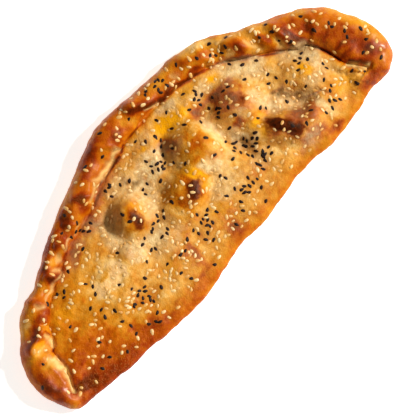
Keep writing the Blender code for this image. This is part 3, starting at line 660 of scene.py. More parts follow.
# %% Scorched tops and oil
# (13, 21) is painted shade on a blister's shadow side, in the scorch's colours.
BURNS = [
    (-34, 4, 10, 9, 60, 1.05), (3, -11, 14, 11, 5, 1.35), (68, 4, 7, 6, -50, 0.75),
    (59, 14, 9, 6, 0, 0.45), (69, -22, 12, 9, -50, 0.8), (75, -30, 15, 10, -62, 1.3),
    (80, -38, 10, 8, -20, 0.6), (90, -34, 11, 8, 0, 0.22), (96, -54, 8, 5, 0, 0.5),
    (55, -3, 5, 5, 0, 0.4), (-32, 12, 6, 5, 0, 0.15), (13, 21, 8, 5, 15, 0.22),
    (90, -36, 8, 5, 0, 0.14),
]
OILY = [
    (26, 30, 14, 10, 0, 1.3), (37, 27, 10, 7, 0, 1.1), (3, 31, 6, 5, 0, 0.9), (11, -6, 7, 16, 0, 1.5),
    (-78, -8, 16, 10, 0, 0.16), (22, 36, 9, 9, 0, 0.4), (109, -14, 7, 7, 0, 1.1),
    (67, 27, 9, 7, 0, 1.1), (-113, 0, 18, 8, 15, 0.35), (66, -12, 10, 6, 0, 0.8),
    (62, -17, 6, 9, 0, 0.9), (97, 5, 9, 5, -30, 0.45), (117, -38, 16, 11, -30, 0.6),
    (-41, -33, 14, 8, 10, 0.4), (50, 35, 12, 5, -10, 0.65), (5, -32, 12, 10, 0, 0.32),
    (-138, -4, 10, 6, 10, 0.6), (8, 40, 14, 5, 0, 0.3), (-28, 8, 7, 9, 20, 0.7),
    # (155, -18) is painted light: the knob's outer slope that faces the sun is yellower.
    (34, -20, 14, 8, 0, 0.25), (80, -22, 8, 5, 0, 0.4), (155, -18, 30, 7, 100, 0.25),
    (15, 6, 8, 5, 0, 0.4),
]
paint["burn"] = hills(x, y, BURNS)
paint["oil"] = hills(x, y, OILY)
print(len(BURNS), "scorched and", len(OILY), "oily spots")

# %% [markdown]
# Dough that steam kept moist stays pale and creamy on the open pillow. The greyish layer is partly
# greyish dough and partly painted shade, darker in the hollows on the shadow sides of the blisters.
# Where a browned spot lies in a creamy patch, a hill of less than nothing takes the cream away.

# %% Greyish dough and painted shade, and creamy dough
# Greyish dough and painted shade: the darker rows lie on the shadow sides of the blisters, and (-55,
# 15) and (-57, 22) darken the ground beside the left blister's shadow to soften its edge.
GREYISH_AND_SHADED = [
    (-46, 15, 13, 10, 50, 0.9), (-55, 15, 6.8, 12, 0, 0.57), (17, 15.5, 12, 6, 20, 0.78),
    (46, 5, 18, 6, 95, 0.4), (47, -16, 16, 7, 95, 0.4), (93, -21, 18, 7, -44, 0.9),
    (85.5, -10, 10.5, 6.4, 0, 1.04), (112, -1, 22, 6, -48, 0.3), (-30, 33, 22, 5, 14, 0.5),
    (-24, 27, 16, 6, 0, 0.3), (-9, 4, 15, 4, 16, 0.5), (-80, 18, 26, 6, 20, 0.35),
    (-55, 26, 10, 5, 10, 0.5), (122, -16, 16, 5, 105, 0.2), (45, 18, 8, 10, 0, 0.6),
    (-18, 21.5, 14, 8, 5, 1.1), (-57, 22, 9, 9, 0, 0.5), (73, 16, 9, 7, -30, 0.5),
    (91, 17, 7, 5, -40, 0.35), (88, -25, 11, 7, -30, 0.5), (119, -6, 9, 8, -50, 0.9),
    (86, -44, 13, 7, 0, 0.45), (31.5, -4.5, 8.5, 5.5, -30, 0.44), (48, -7, 8, 5, 90, 0.3),
    (91, -16, 15, 6, -50, 0.5), (-72, 22, 20, 6, 15, 0.4), (-14, 6, 16, 8, 30, 0.4),
    (-34, 28, 9, 6, 10, 0.4), (13.5, 20.5, 9, 6, 10, 0.7), (80, -17, 10, 7, -45, 0.35),
    (-34, -9, 14, 8, 0, 0.2), (-24, -11, 13, 7, 0, 0.5), (-54, -4, 7, 10, 0, 0.25),
]
CREAMY = [
    (-53, 4, 24, 8, 92, 0.75), (-50, -9, 10, 9, 0, 0.6), (-36, -13, 15, 8, -10, 0.85),
    (-21, 6, 15, 12, 60, 0.75), (-12, 18, 18, 12, 10, 0.8), (2, 20, 10, 11, 0, 0.85),
    (-24, 28, 15, 6, 10, 0.5), (24, -8, 10, 8, 0, 0.85), (20, -25, 16, 12, 0, 0.5),
    (42, 6, 15, 5, 95, 0.9), (48, -12, 15, 7, 100, 0.95), (62, 27, 19, 6, 10, 0.8),
    (84, 17, 22, 9, -40, 0.95), (92, 9, 9, 8, 0, 0.6), (76, -4, 8, 10, 0, 0.85),
    (86, -18, 17, 8, -35, 0.95), (100, -38, 14, 4, 95, 0.7), (117, -10, 17, 8, 100, 0.85),
    (108, -24, 13, 7, 0, 0.5), (112, 0, 12, 7, -48, 0.6), (77, -47, 14, 7, 0, 0.35),
    (30, -14, 18, 7, 0, 0.3), (8, 34, 10, 5, 0, 0.3), (-30, -22, 20, 7, 0, 0.35),
    (48, -30, 12, 8, 0, 0.35), (-76, -9.5, 19, 11, 0, -0.25), (0, -8, 23, 16, 5, -0.4),
    (28, 8, 18, 16, 60, -0.4), (-34, 6, 11, 14, 100, -0.4), (27, 28, 17, 12, 0, -0.3),
    # (-45, 18) is painted light in the left blister's shadow, which softens it.
    (43, 22, 8, 7, 0, -0.5), (46, -3, 6, 6, 0, -0.2), (-45, 18, 8, 9, 20, 0.4),
    (-54, -5, 6, 9, 0, -0.4), (-5, -15, 8, 5, 0, -0.4), (28, -7, 5, 5, 0, -0.6),
    (130, -38, 9, 10, 0, -0.6), (-79, 0, 7, 8, 0, -0.3), (90, 17, 7, 4, -30, -0.4),
    (75, 15, 6, 6, 0, -0.4), (18, -6, 4, 8, 0, 0.6), (10, 23, 5, 6, 0, 0.5), (35, 36, 4, 6, 0, 0.55),
    (61, 0, 5, 6, 0, 0.4), (-72, -25, 8, 6, 0, 0.15), (32, 7, 4, 5, 0, 0.3),
]
CREAM_CROWN = 1.8                   # the patches are flatter in the middle than bells
PILLOW_CREAM = 0.14                 # creaminess of the pillow outside these patches
CREAM_REACH = (-95.0, -35.0)        # which fades out towards the left between these places

doughy = PILLOW_CREAM * ease(*CREAM_REACH, points[:, 0]) * (1 - on_rim) * (1 - fold_near)
paint["grey_and_shade"] = hills(x, y, GREYISH_AND_SHADED)
paint["cream"] = hills(x, y, CREAMY, CREAM_CROWN) + doughy
print(len(GREYISH_AND_SHADED), "greyish and", len(CREAMY), "creamy spots")

# %% [markdown]
# The raised edge of a lip missed the egg and stayed pale. The egg wash pooled at both ends of the
# bread, which shine more than the rest.

# %% Bare lips, gloss and mottling
BARE = [
    (-128.5, 2, -128, -3, 1.1, 0.7), (-128, -2.5, -131.5, -9.5, 1.1, 0.9),
    (-143, -2, -132, -7, 2.8, 0.3), (-142, -12, -137, -13.5, 1.5, 0.7),
    (-137.4, -13, -136.2, -21.5, 2.4, 1), (-136.2, -20.5, -140.2, -30.5, 2.3, 1),
    (-139.8, -29.5, -145.5, -38.5, 1.6, 0.9), (-120.5, 17.5, -113, 12, 1.4, 0.5),
    (-112, 13.5, -99.5, 17.2, 0.8, 0.6), (-100, 17.2, -89, 19, 0.7, 0.6),
    (-96, 23.5, -89, 20.5, 1.4, 0.5), (-88.5, 27.3, -83.5, 25, 1.6, 0.5),
    (-81, 26, -68, 28.3, 0.7, 0.5), (-68, 28.3, -58, 31, 0.7, 0.4), (-45, 33.5, -32, 38.5, 1.1, 0.6),
    (-33, 38.8, -14, 40.8, 1.7, 0.9), (-16, 40.8, -5.5, 44.8, 1.5, 0.9), (22, 47.5, 33, 41.6, 0.7, 0.7),
    (83, 31, 88, 26, 2.2, 0.5), (98, 29, 101, 14, 1.4, 0.6), (112.5, 15, 113.5, 5, 1.2, 0.4),
    (-135, 12.5, -128, 11.5, 2.2, 0.4), (129, -30.5, 134.2, -39.6, 1.7, 1),
    (133.8, -39, 139.6, -45.2, 1.4, 1), (118, -27, 127, -38, 1.4, 0.6),
    (124, -36, 132, -45.5, 1.2, 0.6), (104, -26, 107, -35, 1.2, 0.7), (100.5, -33, 103, -50, 1.8, 0.5),
    (51, 50, 54, 44, 2, 0.4), (40, 18, 38.5, -8, 2, 0.4),
]
BARE_LEAST = 0.4                    # share of a bare stroke that shows on the pillow
GLAZED = [
    (150, -39, 16, 13, 100, 0.95), (-148, -28, 18, 9, 95, 0.45), (130, -12, 10, 10, 0, 0.25),
]
LEAST_GLAZE = 0.04                  # gloss of the egg wash on the pillow
RIM_GLAZE = 0.05                    # and this much more on the rolled rim
EVEN = 0.5                          # the rim, the fold and the left end are mottled this much less

bare = strokes(*wander(shown_x, shown_y, *LIP_WANDER), BARE, LIP_PINCH, LINE_FADE)
paint["bare"] = bare * np.maximum(takes_pleats, BARE_LEAST)
paint["uneven"] = 1 - EVEN * np.maximum(np.maximum(on_rim, fold_near), browned)
paint["glaze"] = hills(x, y, GLAZED) + LEAST_GLAZE + RIM_GLAZE * on_rim
print(len(BARE), "bare strokes and", len(GLAZED), "glossy patches")

# %% [markdown]
# Browned crust, most of all by the fold, is covered with pinhead bubbles that look like pale
# grains: partly their own colour, and partly painted glints, the light that their tops catch. They
# are too small to model, so a number says where they are and the material draws them.

# %% Where the crust is grainy, and all numbers on the skin
GRAINY = [
    (-115, -46, 56, 17, -8, 1), (-40, -52, 46, 14, 0, 0.9), (-147, -24, 24, 9, 95, 1),
    (-50, 40, 12, 8, 20, 0.8), (28, -50, 50, 10, 0, 0.4), (133, -50, 16, 8, 0, 0.8),
    (140, -10, 24, 10, -60, 0.5), (-110, -22, 40, 14, 0, 0.5), (68, 2, 16, 12, 0, 0.5),
]
paint["grain"] = hills(x, y, GRAINY)


def lay_paint(mesh, name, amount):
    """Give each point of a mesh its number between 0 and 1."""
    shares = np.clip(amount, 0, 1).astype(np.float32)
    mesh.attributes.new(name, "FLOAT", "POINT").data.foreach_set("value", shares)
    print(name, "is over a half on", round(100 * float((shares > 0.5).mean())), "% of the points")


for name, amount in paint.items():
    lay_paint(dough_mesh, name, amount)

# %% [markdown]
# ## Colours as they are seen
# A colour is easiest to name as it looks in daylight, on the usual scale to 255. The light of the
# scene brightens it, so a pigment is the seen colour made linear and divided by that light. The
# palest dough and the oil pass 255, and their pigments are still darker than white.

# %% From a seen colour to a pigment
DAYLIGHT = 1.20                     # light on a level surface, as a share of white
SCREEN_POWER = 2.2


def seen(red, green, blue):
    """The pigment that looks like this colour in the scene's light."""
    return tuple((c / 255) ** SCREEN_POWER / DAYLIGHT for c in (red, green, blue)) + (1.0,)


def stops(*rows):
    """Stops of a ramp, from rows of a place between 0 and 1 and the colour seen there."""
    return [(place, seen(*colour)) for place, *colour in rows]


BAKE_COLOURS = stops(               # how far it baked, and what it then looks like
    (0.00, 266, 216, 146), (0.15, 253, 198, 110), (0.30, 237, 165, 66), (0.45, 220, 137, 30),
    (0.60, 202, 100, 6), (0.76, 162, 58, 0), (0.90, 118, 42, 4), (1.00, 84, 30, 6),
)
BURN_COLOURS = stops((0.0, 200, 100, 14), (0.35, 140, 56, 10), (1.0, 52, 18, 8))
CREAM_COLOURS = stops((0.0, 219, 175, 115), (0.5, 241, 201, 138), (1.0, 254, 222, 161))
# greyish dough, going over into painted shade where the layer is strongest
GREY_AND_SHADE_COLOURS = stops((0.0, 212, 172, 120), (0.55, 180, 140, 92), (1.0, 124, 92, 54))
OIL_COLOUR = seen(263, 177, 16)
BARE_COLOUR = seen(250, 208, 128)
RING_BROWN_AND_SHADE_COLOUR = seen(178, 102, 26)    # rings round the seeds: browning, and painted shade in their creases
GRAIN_AND_GLINT_COLOUR = seen(236, 152, 74)   # pinhead bubbles, and painted glints on their tops
print("golden crust pigment", tuple(round(c, 2) for c in BAKE_COLOURS[2][1][:3]))

# %% [markdown]
# ## Node helpers
# A material is a tree of nodes. These few helpers keep its cells short: they add a node and fill
# its inputs, read a painted layer, count, mix, and draw noise.

# %% Add and fill nodes


def fill(node, inputs):
    """Fill a node's inputs: an input is linked if its value is a socket, and otherwise set."""
    for name, value in dict(inputs).items():
        if isinstance(value, bpy.types.NodeSocket):
            node.id_data.links.new(value, node.inputs[name])
        else:
            node.inputs[name].default_value = value


def add_node(tree, kind, inputs=(), **settings):
    """Add a node with its settings and inputs."""
    made = tree.nodes.new(kind)
    for name, value in settings.items():
        setattr(made, name, value)
    fill(made, inputs)
    return made


def new_material(name):
    """An empty material with its shader, and the tree that it lives in."""
    material = bpy.data.materials.new(name)
    material.use_nodes = True
    return material, material.node_tree, material.node_tree.nodes["Principled BSDF"]


print("nodes can be added")

# %% Numbers and colours in nodes


def layer(tree, name):
    """A painted layer of the skin."""
    return add_node(tree, "ShaderNodeAttribute", attribute_name=name).outputs["Fac"]


def maths(tree, operation, first, second):
    """Arithmetic on two numbers, kept between 0 and 1."""
    made = add_node(tree, "ShaderNodeMath", {0: first, 1: second}, operation=operation)
    made.use_clamp = True
    return made.outputs[0]


def stretch(tree, value, low, high, start=0.0, stop=1.0):
    """A number that goes from start to stop while the value goes from low to high."""
    made = add_node(tree, "ShaderNodeMapRange", {"Value": value, "From Min": low, "From Max": high,
                                                 "To Min": start, "To Max": stop})
    return made.outputs["Result"]


def mix(tree, share, first, second):
    """A colour between two colours."""
    made = add_node(tree, "ShaderNodeMix", {0: share, 6: first, 7: second}, data_type="RGBA")
    return made.outputs[2]


def ramp(tree, value, colours):
    """A colour read from a row of stops."""
    made = add_node(tree, "ShaderNodeValToRGB", {"Fac": value})
    elements = made.color_ramp.elements
    while len(elements) < len(colours):
        elements.new(1.0)
    for element, (place, colour) in zip(elements, colours):
        element.position = place
        element.color = colour
    return made.outputs["Color"]


def grains(tree, breadth, detail, low, high):
    """Noise with grains of a breadth in millimetres, stretched between two of its values."""
    place = add_node(tree, "ShaderNodeTexCoord").outputs["Object"]
    cloud = add_node(tree, "ShaderNodeTexNoise",
                     {"Vector": place, "Scale": 1 / (breadth * MM), "Detail": detail})
    return stretch(tree, cloud.outputs["Fac"], low, high)


def bumps(tree, height, depth, strength):
    """A normal that is tilted by bumps of this depth."""
    made = add_node(tree, "ShaderNodeBump",
                    {"Height": height, "Distance": depth, "Strength": strength})
    return made.outputs["Normal"]


print("helpers ready")

# %% [markdown]
# ## The crust
# Egg-washed crust is a thin glossy coat over rough, slightly translucent bread. Its colour is read
# from a ramp by how far it baked, after noise has mottled that number. Creamy dough, greyish dough
# with painted shade in the hollows, oil, bare lips, the rings of browning and painted shade round
# the seeds, pale grains with painted glints, and scorch are then mixed in, in that order. One flat
# brown would look like clay.

# %% The golden ground
MOTTLE = [(16.0, 2.0, 0.16), (7.0, 3.0, 0.24), (2.4, 2.0, 0.11)]   # breadth, detail and strength
MOTTLE_VALUES = (0.34, 0.66)        # values of the noise where a mottle starts and is full

crust, tree, shader = new_material("crust")
baked = layer(tree, "bake")
for breadth, detail, strength in MOTTLE:
    mottle = grains(tree, breadth, detail, *MOTTLE_VALUES)
    reach = maths(tree, "MULTIPLY", layer(tree, "uneven"), strength)
    baked = maths(tree, "ADD", baked, maths(tree, "MULTIPLY", mottle, reach))
    baked = maths(tree, "SUBTRACT", baked, maths(tree, "MULTIPLY", reach, 0.5))
colour = ramp(tree, baked, BAKE_COLOURS)
print(len(MOTTLE), "mottles on", len(BAKE_COLOURS), "colours")

# %% Creamy dough, greyish dough and painted shade, oil, bare dough and seed rings
# Breadth of the patches, noise values where they start and are full, and what shows everywhere.
PATCHES = {"cream": (4.0, 0.38, 0.62, 0.60), "grey_and_shade": (5.0, 0.38, 0.62, 0.40),
           "oil": (2.6, 0.30, 0.62, 0.45)}
FINE = 3.0                          # detail of fine noise
CREAM_BREADTH = 3.0                 # breadth of the lighter and darker creams
GREY_AND_SHADE_STRENGTH = 0.85
RING_BROWN_AND_SHADE_STRENGTH = 0.27


def patchy(tree, name):
    """A painted layer that noise breaks up into patches."""
    breadth, low, high, least = PATCHES[name]
    patches = grains(tree, breadth, FINE, low, high)
    return maths(tree, "MULTIPLY", layer(tree, name), maths(tree, "ADD", patches, least))


creams = ramp(tree, grains(tree, CREAM_BREADTH, FINE, *MOTTLE_VALUES), CREAM_COLOURS)
colour = mix(tree, patchy(tree, "cream"), colour, creams)
# the grey layer is greyish dough together with painted shade in the hollows
grey_and_shade = patchy(tree, "grey_and_shade")
grey_and_shade_colours = ramp(tree, grey_and_shade, GREY_AND_SHADE_COLOURS)
colour = mix(tree, maths(tree, "MULTIPLY", grey_and_shade, GREY_AND_SHADE_STRENGTH), colour, grey_and_shade_colours)
colour = mix(tree, patchy(tree, "oil"), colour, OIL_COLOUR)
colour = mix(tree, layer(tree, "bare"), colour, BARE_COLOUR)
# rings of browning and painted shade round the seeds
ring_brown_and_shade = maths(tree, "MULTIPLY", layer(tree, "ring_brown_and_shade"), RING_BROWN_AND_SHADE_STRENGTH)
colour = mix(tree, ring_brown_and_shade, colour, RING_BROWN_AND_SHADE_COLOUR)
print(len(tree.nodes), "nodes so far")

# %% Pale grains with painted glints, and scorch
PINHEADS = (0.9, 2.0, 0.54, 0.66)   # breadth, detail and noise values
PINHEAD_STRENGTH = 0.26
SCORCH_EDGE = (2.0, FINE, 0.30, 0.70)
SCORCH_LOSS = 0.25                  # the noise takes up to this much off a scorch
SCORCH_COVER = 0.60                 # scorched this far, nothing else shows

pale_and_glint = maths(tree, "MULTIPLY", layer(tree, "grain"), grains(tree, *PINHEADS))
colour = mix(tree, maths(tree, "MULTIPLY", pale_and_glint, PINHEAD_STRENGTH), colour, GRAIN_AND_GLINT_COLOUR)
lost = maths(tree, "MULTIPLY", grains(tree, *SCORCH_EDGE), SCORCH_LOSS)
scorch = maths(tree, "SUBTRACT", layer(tree, "burn"), lost)
cover = stretch(tree, scorch, 0.0, SCORCH_COVER)
colour = mix(tree, cover, colour, ramp(tree, scorch, BURN_COLOURS))
print(len(tree.nodes), "nodes for the crust's colour")

# %% [markdown]
# Browned crust is smoother than pale dough, so how far it baked also gives its roughness. The egg
# wash is a coat over it. Pores are drawn as bumps, because modelled they would need millions of
# faces. A little light enters the bread and comes out redder.

# %% The crust's gloss and pores
DULL, GLOSSY = 0.52, 0.36           # roughness of pale dough and of browned crust
GLOSS_BAKE = (0.2, 0.8)             # how far pale dough and browned crust baked
PORES = [(2.4, 0.5), (0.8, 0.5)]    # breadth of a pore, and its share of the bump
PORE_VALUES = (0.3, 0.7)
PORE_DEPTH = 0.45 * MM
PORE_STRENGTH = 0.7
PINHEAD_BUMP = 0.35                 # share of the bump that the pale grains have

pores = 0.0
for breadth, share in PORES:
    pore = grains(tree, breadth, FINE, *PORE_VALUES)
    pores = maths(tree, "ADD", pores, maths(tree, "MULTIPLY", pore, share))
pores = maths(tree, "ADD", pores, maths(tree, "MULTIPLY", pale_and_glint, PINHEAD_BUMP))
fill(shader, {
    "Base Color": colour,
    "Roughness": stretch(tree, baked, *GLOSS_BAKE, DULL, GLOSSY),
    "Normal": bumps(tree, pores, PORE_DEPTH, PORE_STRENGTH),
    "Specular IOR Level": 0.12,
    "Specular Tint": (1.0, 0.70, 0.30, 1.0),
    "Coat Weight": layer(tree, "glaze"),
    "Coat Roughness": 0.34,
    "Subsurface Weight": 0.06,
    "Subsurface Radius": (1.0, 0.45, 0.15),
    "Subsurface Scale": 2.0 * MM,
})
dough_mesh.materials.append(crust)
print("crust done:", len(tree.nodes), "nodes")

# %% [markdown]
# ## Seeds
# A sesame seed is a flat drop about 4 mm long. A nigella seed is smaller and angular, with three
# blunt edges. One of each is modelled, and then every seed on the bread is a copy with its own turn
# and size, joined into one mesh for each kind. Copies scattered by particles would be lost when the
# model is exported.

# %% Model one seed of each kind
SESAME = (4.3, 3.1, 1.7, 0.38)      # length, width, thickness and how much the tip narrows
NIGELLA = (3.9, 2.8, 2.0, 0.22)
SEED_SIDES = 12
SEED_BANDS = 8
SESAME_EDGE = 0.04                  # how far three blunt edges stand out
NIGELLA_EDGE = 0.16


def from_lowest(face):
    """The same face, listed from its lowest corner, because Blender starts at any corner."""
    start = face.index(min(face))
    return face[start:] + face[:start]


def seed_shape(length, width, thickness, taper, edge):
    """Points, in millimetres, and faces of one seed lying along X."""
    shape = bmesh.new()
    bmesh.ops.create_uvsphere(shape, u_segments=SEED_SIDES, v_segments=SEED_BANDS, radius=0.5,
                              matrix=Matrix.Rotation(math.pi / 2, 4, "Y"))
    for vertex in shape.verts:
        narrow = 1 - taper * (vertex.co.x + 0.5)
        round_x = math.atan2(vertex.co.z, vertex.co.y)
        ridge = 1 + edge * math.cos(3 * round_x)
        vertex.co.y *= narrow * width * ridge
        vertex.co.z *= narrow * thickness * ridge
        vertex.co.x *= length
    shape.verts.ensure_lookup_table()
    corners = np.array([v.co for v in shape.verts])
    sides = sorted(from_lowest(tuple(v.index for v in f.verts)) for f in shape.faces)
    shape.free()
    return corners, sides


sesame_shape = seed_shape(*SESAME, SESAME_EDGE)
nigella_shape = seed_shape(*NIGELLA, NIGELLA_EDGE)
print("a seed has", len(sesame_shape[1]), "faces")

# %% [markdown]
# ## Where the seeds fell
# The largest two hundred are the solid's own, and their places come from its rule: each is the
# candidate that lies furthest from those before it. The rest fell as a hand throws them, some
# anywhere, and the nigella seeds also in small drifts. All draws come from one seeded row of random
# numbers, so that each run strews the same bread.

# %% Where a seed may lie
LENGTH, WIDTH = 320.0, 125.0        # of the box in which places are drawn
SEED_EDGE_GAP = 6.0                 # seeds keep this far in from the fold, half of it elsewhere
FOLD_LINE = -30.0                   # below this line the edge is the folded one
SEED_OUTLINE = 72                   # points of the outline that the seeds keep to

outline = spokes(SEED_OUTLINE)[:, :2]


def edge_distance(place_x, place_y):
    """Distance of a place from the bread's edge, negative outside it."""
    inside = False
    nearest = math.inf
    for (x1, y1), (x2, y2) in zip(outline, np.roll(outline, -1, axis=0)):
        if (y1 > place_y) != (y2 > place_y):
            if place_x < x1 + (place_y - y1) / (y2 - y1) * (x2 - x1):
                inside = not inside
        dx, dy = x2 - x1, y2 - y1
        t = min(max(((place_x - x1) * dx + (place_y - y1) * dy) / (dx * dx + dy * dy), 0), 1)
        nearest = min(nearest, math.hypot(place_x - x1 - t * dx, place_y - y1 - t * dy))
    return nearest if inside else -nearest


def on_crust(place_x, place_y):
    """Whether a seed may lie here."""
    inset = SEED_EDGE_GAP if place_y < FOLD_LINE else SEED_EDGE_GAP / 2
    return edge_distance(place_x, place_y) >= inset


def any_place(draw):
    """A place in the box round the bread."""
    place_x = draw.uniform(-LENGTH / 2, LENGTH / 2)
    return place_x, draw.uniform(-WIDTH / 2, WIDTH / 2)


def gap_to(places, place):
    """Distance from a place to the nearest of the others."""
    return min((math.hypot(place[0] - px, place[1] - py) for px, py in places), default=LENGTH)


print("the middle lies", round(edge_distance(0, 0)), "mm from the edge")

# %% Places of the solid's own seeds
OWN_SEEDS = 200
SESAME_SHARE = 0.66                 # of the solid's seeds, the rest are nigella
SEED_THIN = (-145.0, -85.0)         # left of these places along X the seeds grow sparse
SEED_THIN_GAP = 0.6                 # and their gaps count only this much
SEED_TRIES = 24                     # candidates for each place
SEED_RULE = 11                      # seed of the random draws

draw = random.Random(SEED_RULE)
seed_places = []
while len(seed_places) < OWN_SEEDS:
    best, best_gap = None, 0.0
    for _ in range(SEED_TRIES):
        place = any_place(draw)
        if on_crust(*place):
            gap = gap_to(seed_places, place)
            gap *= SEED_THIN_GAP + (1 - SEED_THIN_GAP) * ease(*SEED_THIN, place[0])
            if gap > best_gap:
                best, best_gap = place, gap
    if best:
        seed_places.append(best)
draw = random.Random(SEED_RULE)
seeds = []
for place in seed_places:
    is_sesame = draw.random() < SESAME_SHARE
    seeds.append((*place, is_sesame, draw.uniform(0, 2 * math.pi)))
print(sum(seed[2] for seed in seeds), "of the solid's", len(seeds), "seeds are sesame")

# %% Drifts of nigella
# Place (x, y) and spread of each drift, and how many seeds it has.
DRIFTS = [
    (-8, -32, 5, 12), (47.5, -17, 5, 16), (48, -30, 5.5, 10), (29, -38, 5, 9), (-61, 26, 3.5, 7),
    (7, 19, 4.5, 9), (57, 9, 5, 8), (-28, -14, 4.5, 7), (-27, 28, 4, 6), (48, 27, 3, 6),
    (-90, -25, 13, 9), (-72, -36, 11, 9), (35, 52, 5, 8), (142, -22, 7, 6), (108, -41, 4, 5),
    (115, -14, 6, 5), (2, 15, 4, 5), (84, 31, 5, 5), (-98, 0, 12, 5), (94, -3, 4, 4),
]
CLEAR = 1.8                         # seeds keep this far from each other

for middle_x, middle_y, spread, number in DRIFTS:
    found = 0
    while found < number:
        place = (draw.gauss(middle_x, spread), draw.gauss(middle_y, spread))
        if on_crust(*place) and gap_to(seed_places, place) > CLEAR:
            seed_places.append(place)
            seeds.append((*place, False, draw.uniform(0, 2 * math.pi)))
            found += 1
print(len(seeds) - OWN_SEEDS, "seeds in drifts")

# %% The rest, thrown by hand
# Where they lie thicker or thinner, as hills of one more share.
THICK = [
    (-40, -32, 56, 18, 0, 1.4), (25, -42, 50, 12, 0, 0.8), (100, -44, 30, 12, 0, 0.9),
    (-18, 4, 20, 16, 0, 0.4), (78, 2, 16, 14, 0, 1.4), (95, -18, 24, 12, -30, 0.8),
    (83, 38, 14, 10, -40, 1.4), (104, 25, 12, 8, -35, 1.4), (-5, 24, 50, 16, 5, -0.6),
    (-72, -33, 22, 12, 0, 1), (30, 50, 12, 6, 0, 0.8), (-100, 20, 20, 6, 20, 0.6),
    (86, -36, 12, 8, 0, 1.6), (143, -22, 26, 44, 0, -0.8), (-20, 55, 60, 9, 5, -0.4),
    (-85, -47, 40, 9, -8, -0.8), (25, 5, 18, 18, 0, -0.5), (115, -5, 10, 24, 20, -0.5),
    (-75, 10, 30, 14, 15, -0.3), (20, -52, 70, 7, 0, -0.5),
]
SEED_TOTAL = 880
LATER_SESAME = 0.93                 # share of sesame among these
THICKEST = 2.6                      # no place gets more than this many times the usual share
BURN_CLEAR = 0.7                    # share of the seeds that are missing on scorched tops
LEFT_SPARSE = (-150.0, -60.0)       # fewer seeds towards the left end
SPARSEST = 0.28                     # share of them that lie there

while len(seeds) < SEED_TOTAL:
    place = any_place(draw)
    here = np.array([place[0]]), np.array([place[1]])
    kept = SPARSEST + (1 - SPARSEST) * ease(*LEFT_SPARSE, place[0])
    kept *= (1 + hills(*here, THICK)[0]) * (1 - BURN_CLEAR * min(hills(*here, BURNS)[0], 1))
    if draw.random() * THICKEST < kept and on_crust(*place) and gap_to(seed_places, place) > CLEAR:
        seed_places.append(place)
        seeds.append((*place, draw.random() < LATER_SESAME, draw.uniform(0, 2 * math.pi)))
print(len(seeds), "seeds,", sum(seed[2] for seed in seeds), "of them sesame")

# %% [markdown]
# Each seed is dropped from above on the crust, stands on the crust's own slope, and is sunk by a
# quarter, because the dough rose round it. It also gets a random number for its colour, its tone.

# %% Lay the seeds on the crust
SEED_LARGEST = 1.08                 # size of the first seed, as a share of the one modelled
SEED_SMALLEST = 0.80                # and of the last
SEED_SINK = 0.25                    # share of a seed's thickness below the crust
TILT = math.radians(9.0)            # seeds lean up to this much out of the crust's slope

crust_faces = BVHTree.FromPolygons([v.co for v in dough_mesh.vertices],
                                   [p.vertices for p in dough_mesh.polygons])
joined = {True: ([], [], []), False: ([], [], [])}
seed_centres = []
for number, (place_x, place_y, is_sesame, turn) in enumerate(seeds):
    corners, sides = sesame_shape if is_sesame else nigella_shape
    thickness = SESAME[2] if is_sesame else NIGELLA[2]
    size = SEED_LARGEST + (SEED_SMALLEST - SEED_LARGEST) * number / SEED_TOTAL
    above = Vector((place_x * MM, place_y * MM, cad_high.z + MM))
    hit, normal, _, _ = crust_faces.ray_cast(above, Vector((0, 0, -1)))
    lean = 0.0 if number < OWN_SEEDS else draw.uniform(-TILT, TILT)
    tone = draw.random()
    centre = hit + normal * (0.5 - SEED_SINK) * thickness * size * MM
    seed_centres.append(centre)
    upright = normal.to_track_quat("Z", "Y").to_matrix()
    turned = upright @ Matrix.Rotation(turn, 3, "Z") @ Matrix.Rotation(lean, 3, "Y")
    points_of, faces_of, tones_of = joined[is_sesame]
    first = len(points_of) * len(corners)
    points_of.append(corners @ np.array(turned).T * size * MM + np.array(centre))
    faces_of += [tuple(first + corner for corner in side) for side in sides]
    tones_of += [tone] * len(corners)


def joined_seeds(name, kind):
    """One mesh object of all seeds of a kind."""
    points_of, faces_of, tones_of = joined[kind]
    mesh = smooth_mesh(name, np.vstack(points_of), faces_of)
    lay_paint(mesh, "tone", tones_of)
    print(name, len(points_of), "seeds,", len(faces_of), "faces")
    return add_object(name, mesh)


sesame_seeds = joined_seeds("sesame_seeds", True)
nigella_seeds = joined_seeds("nigella_seeds", False)

# %% [markdown]
# The crust beside a seed is darker in a narrow ring: partly browning, where the seed's oil and its
# hot edge touch the crust, and partly painted shade in the crease where the dough rose round it.
# The ring is one more painted layer, by the distance of each point to the nearest seed.

# %% Rings of browning and painted shade round the seeds
RING_BROWN_AND_SHADE_REACH = (1.7, 2.8)             # fully darkened this near a seed's middle, and no longer here

nearest_seed = KDTree(len(seed_centres))
for number, centre in enumerate(seed_centres):
    nearest_seed.insert(centre, number)
nearest_seed.balance()
away = np.array([nearest_seed.find(vertex.co)[2] for vertex in dough_mesh.vertices]) / MM
lay_paint(dough_mesh, "ring_brown_and_shade", 1 - ease(*RING_BROWN_AND_SHADE_REACH, away))

# %% [markdown]
# ## The seeds' finish
# Sesame is ivory to tan, as it toasted, with a soft sheen from its oil. Nigella is near black and
# dull, and finely wrinkled. The tone of each seed moves its colour, because seeds of one colour
# look like beads.

# %% Colours of the seeds
SESAME_COLOURS = stops((0.0, 226, 158, 76), (0.35, 241, 184, 100), (1.0, 254, 212, 144))
NIGELLA_COLOURS = stops((0.0, 30, 13, 7), (1.0, 62, 36, 22))
FLECKS = (1.2, 2.0, 0.3, 0.7)       # breadth, detail and noise values
FLECK_STRENGTH = 0.2
WRINKLES = (0.5, FINE, 0.3, 0.7)
WRINKLE_DEPTH = 0.15 * MM
WRINKLE_STRENGTH = 0.8

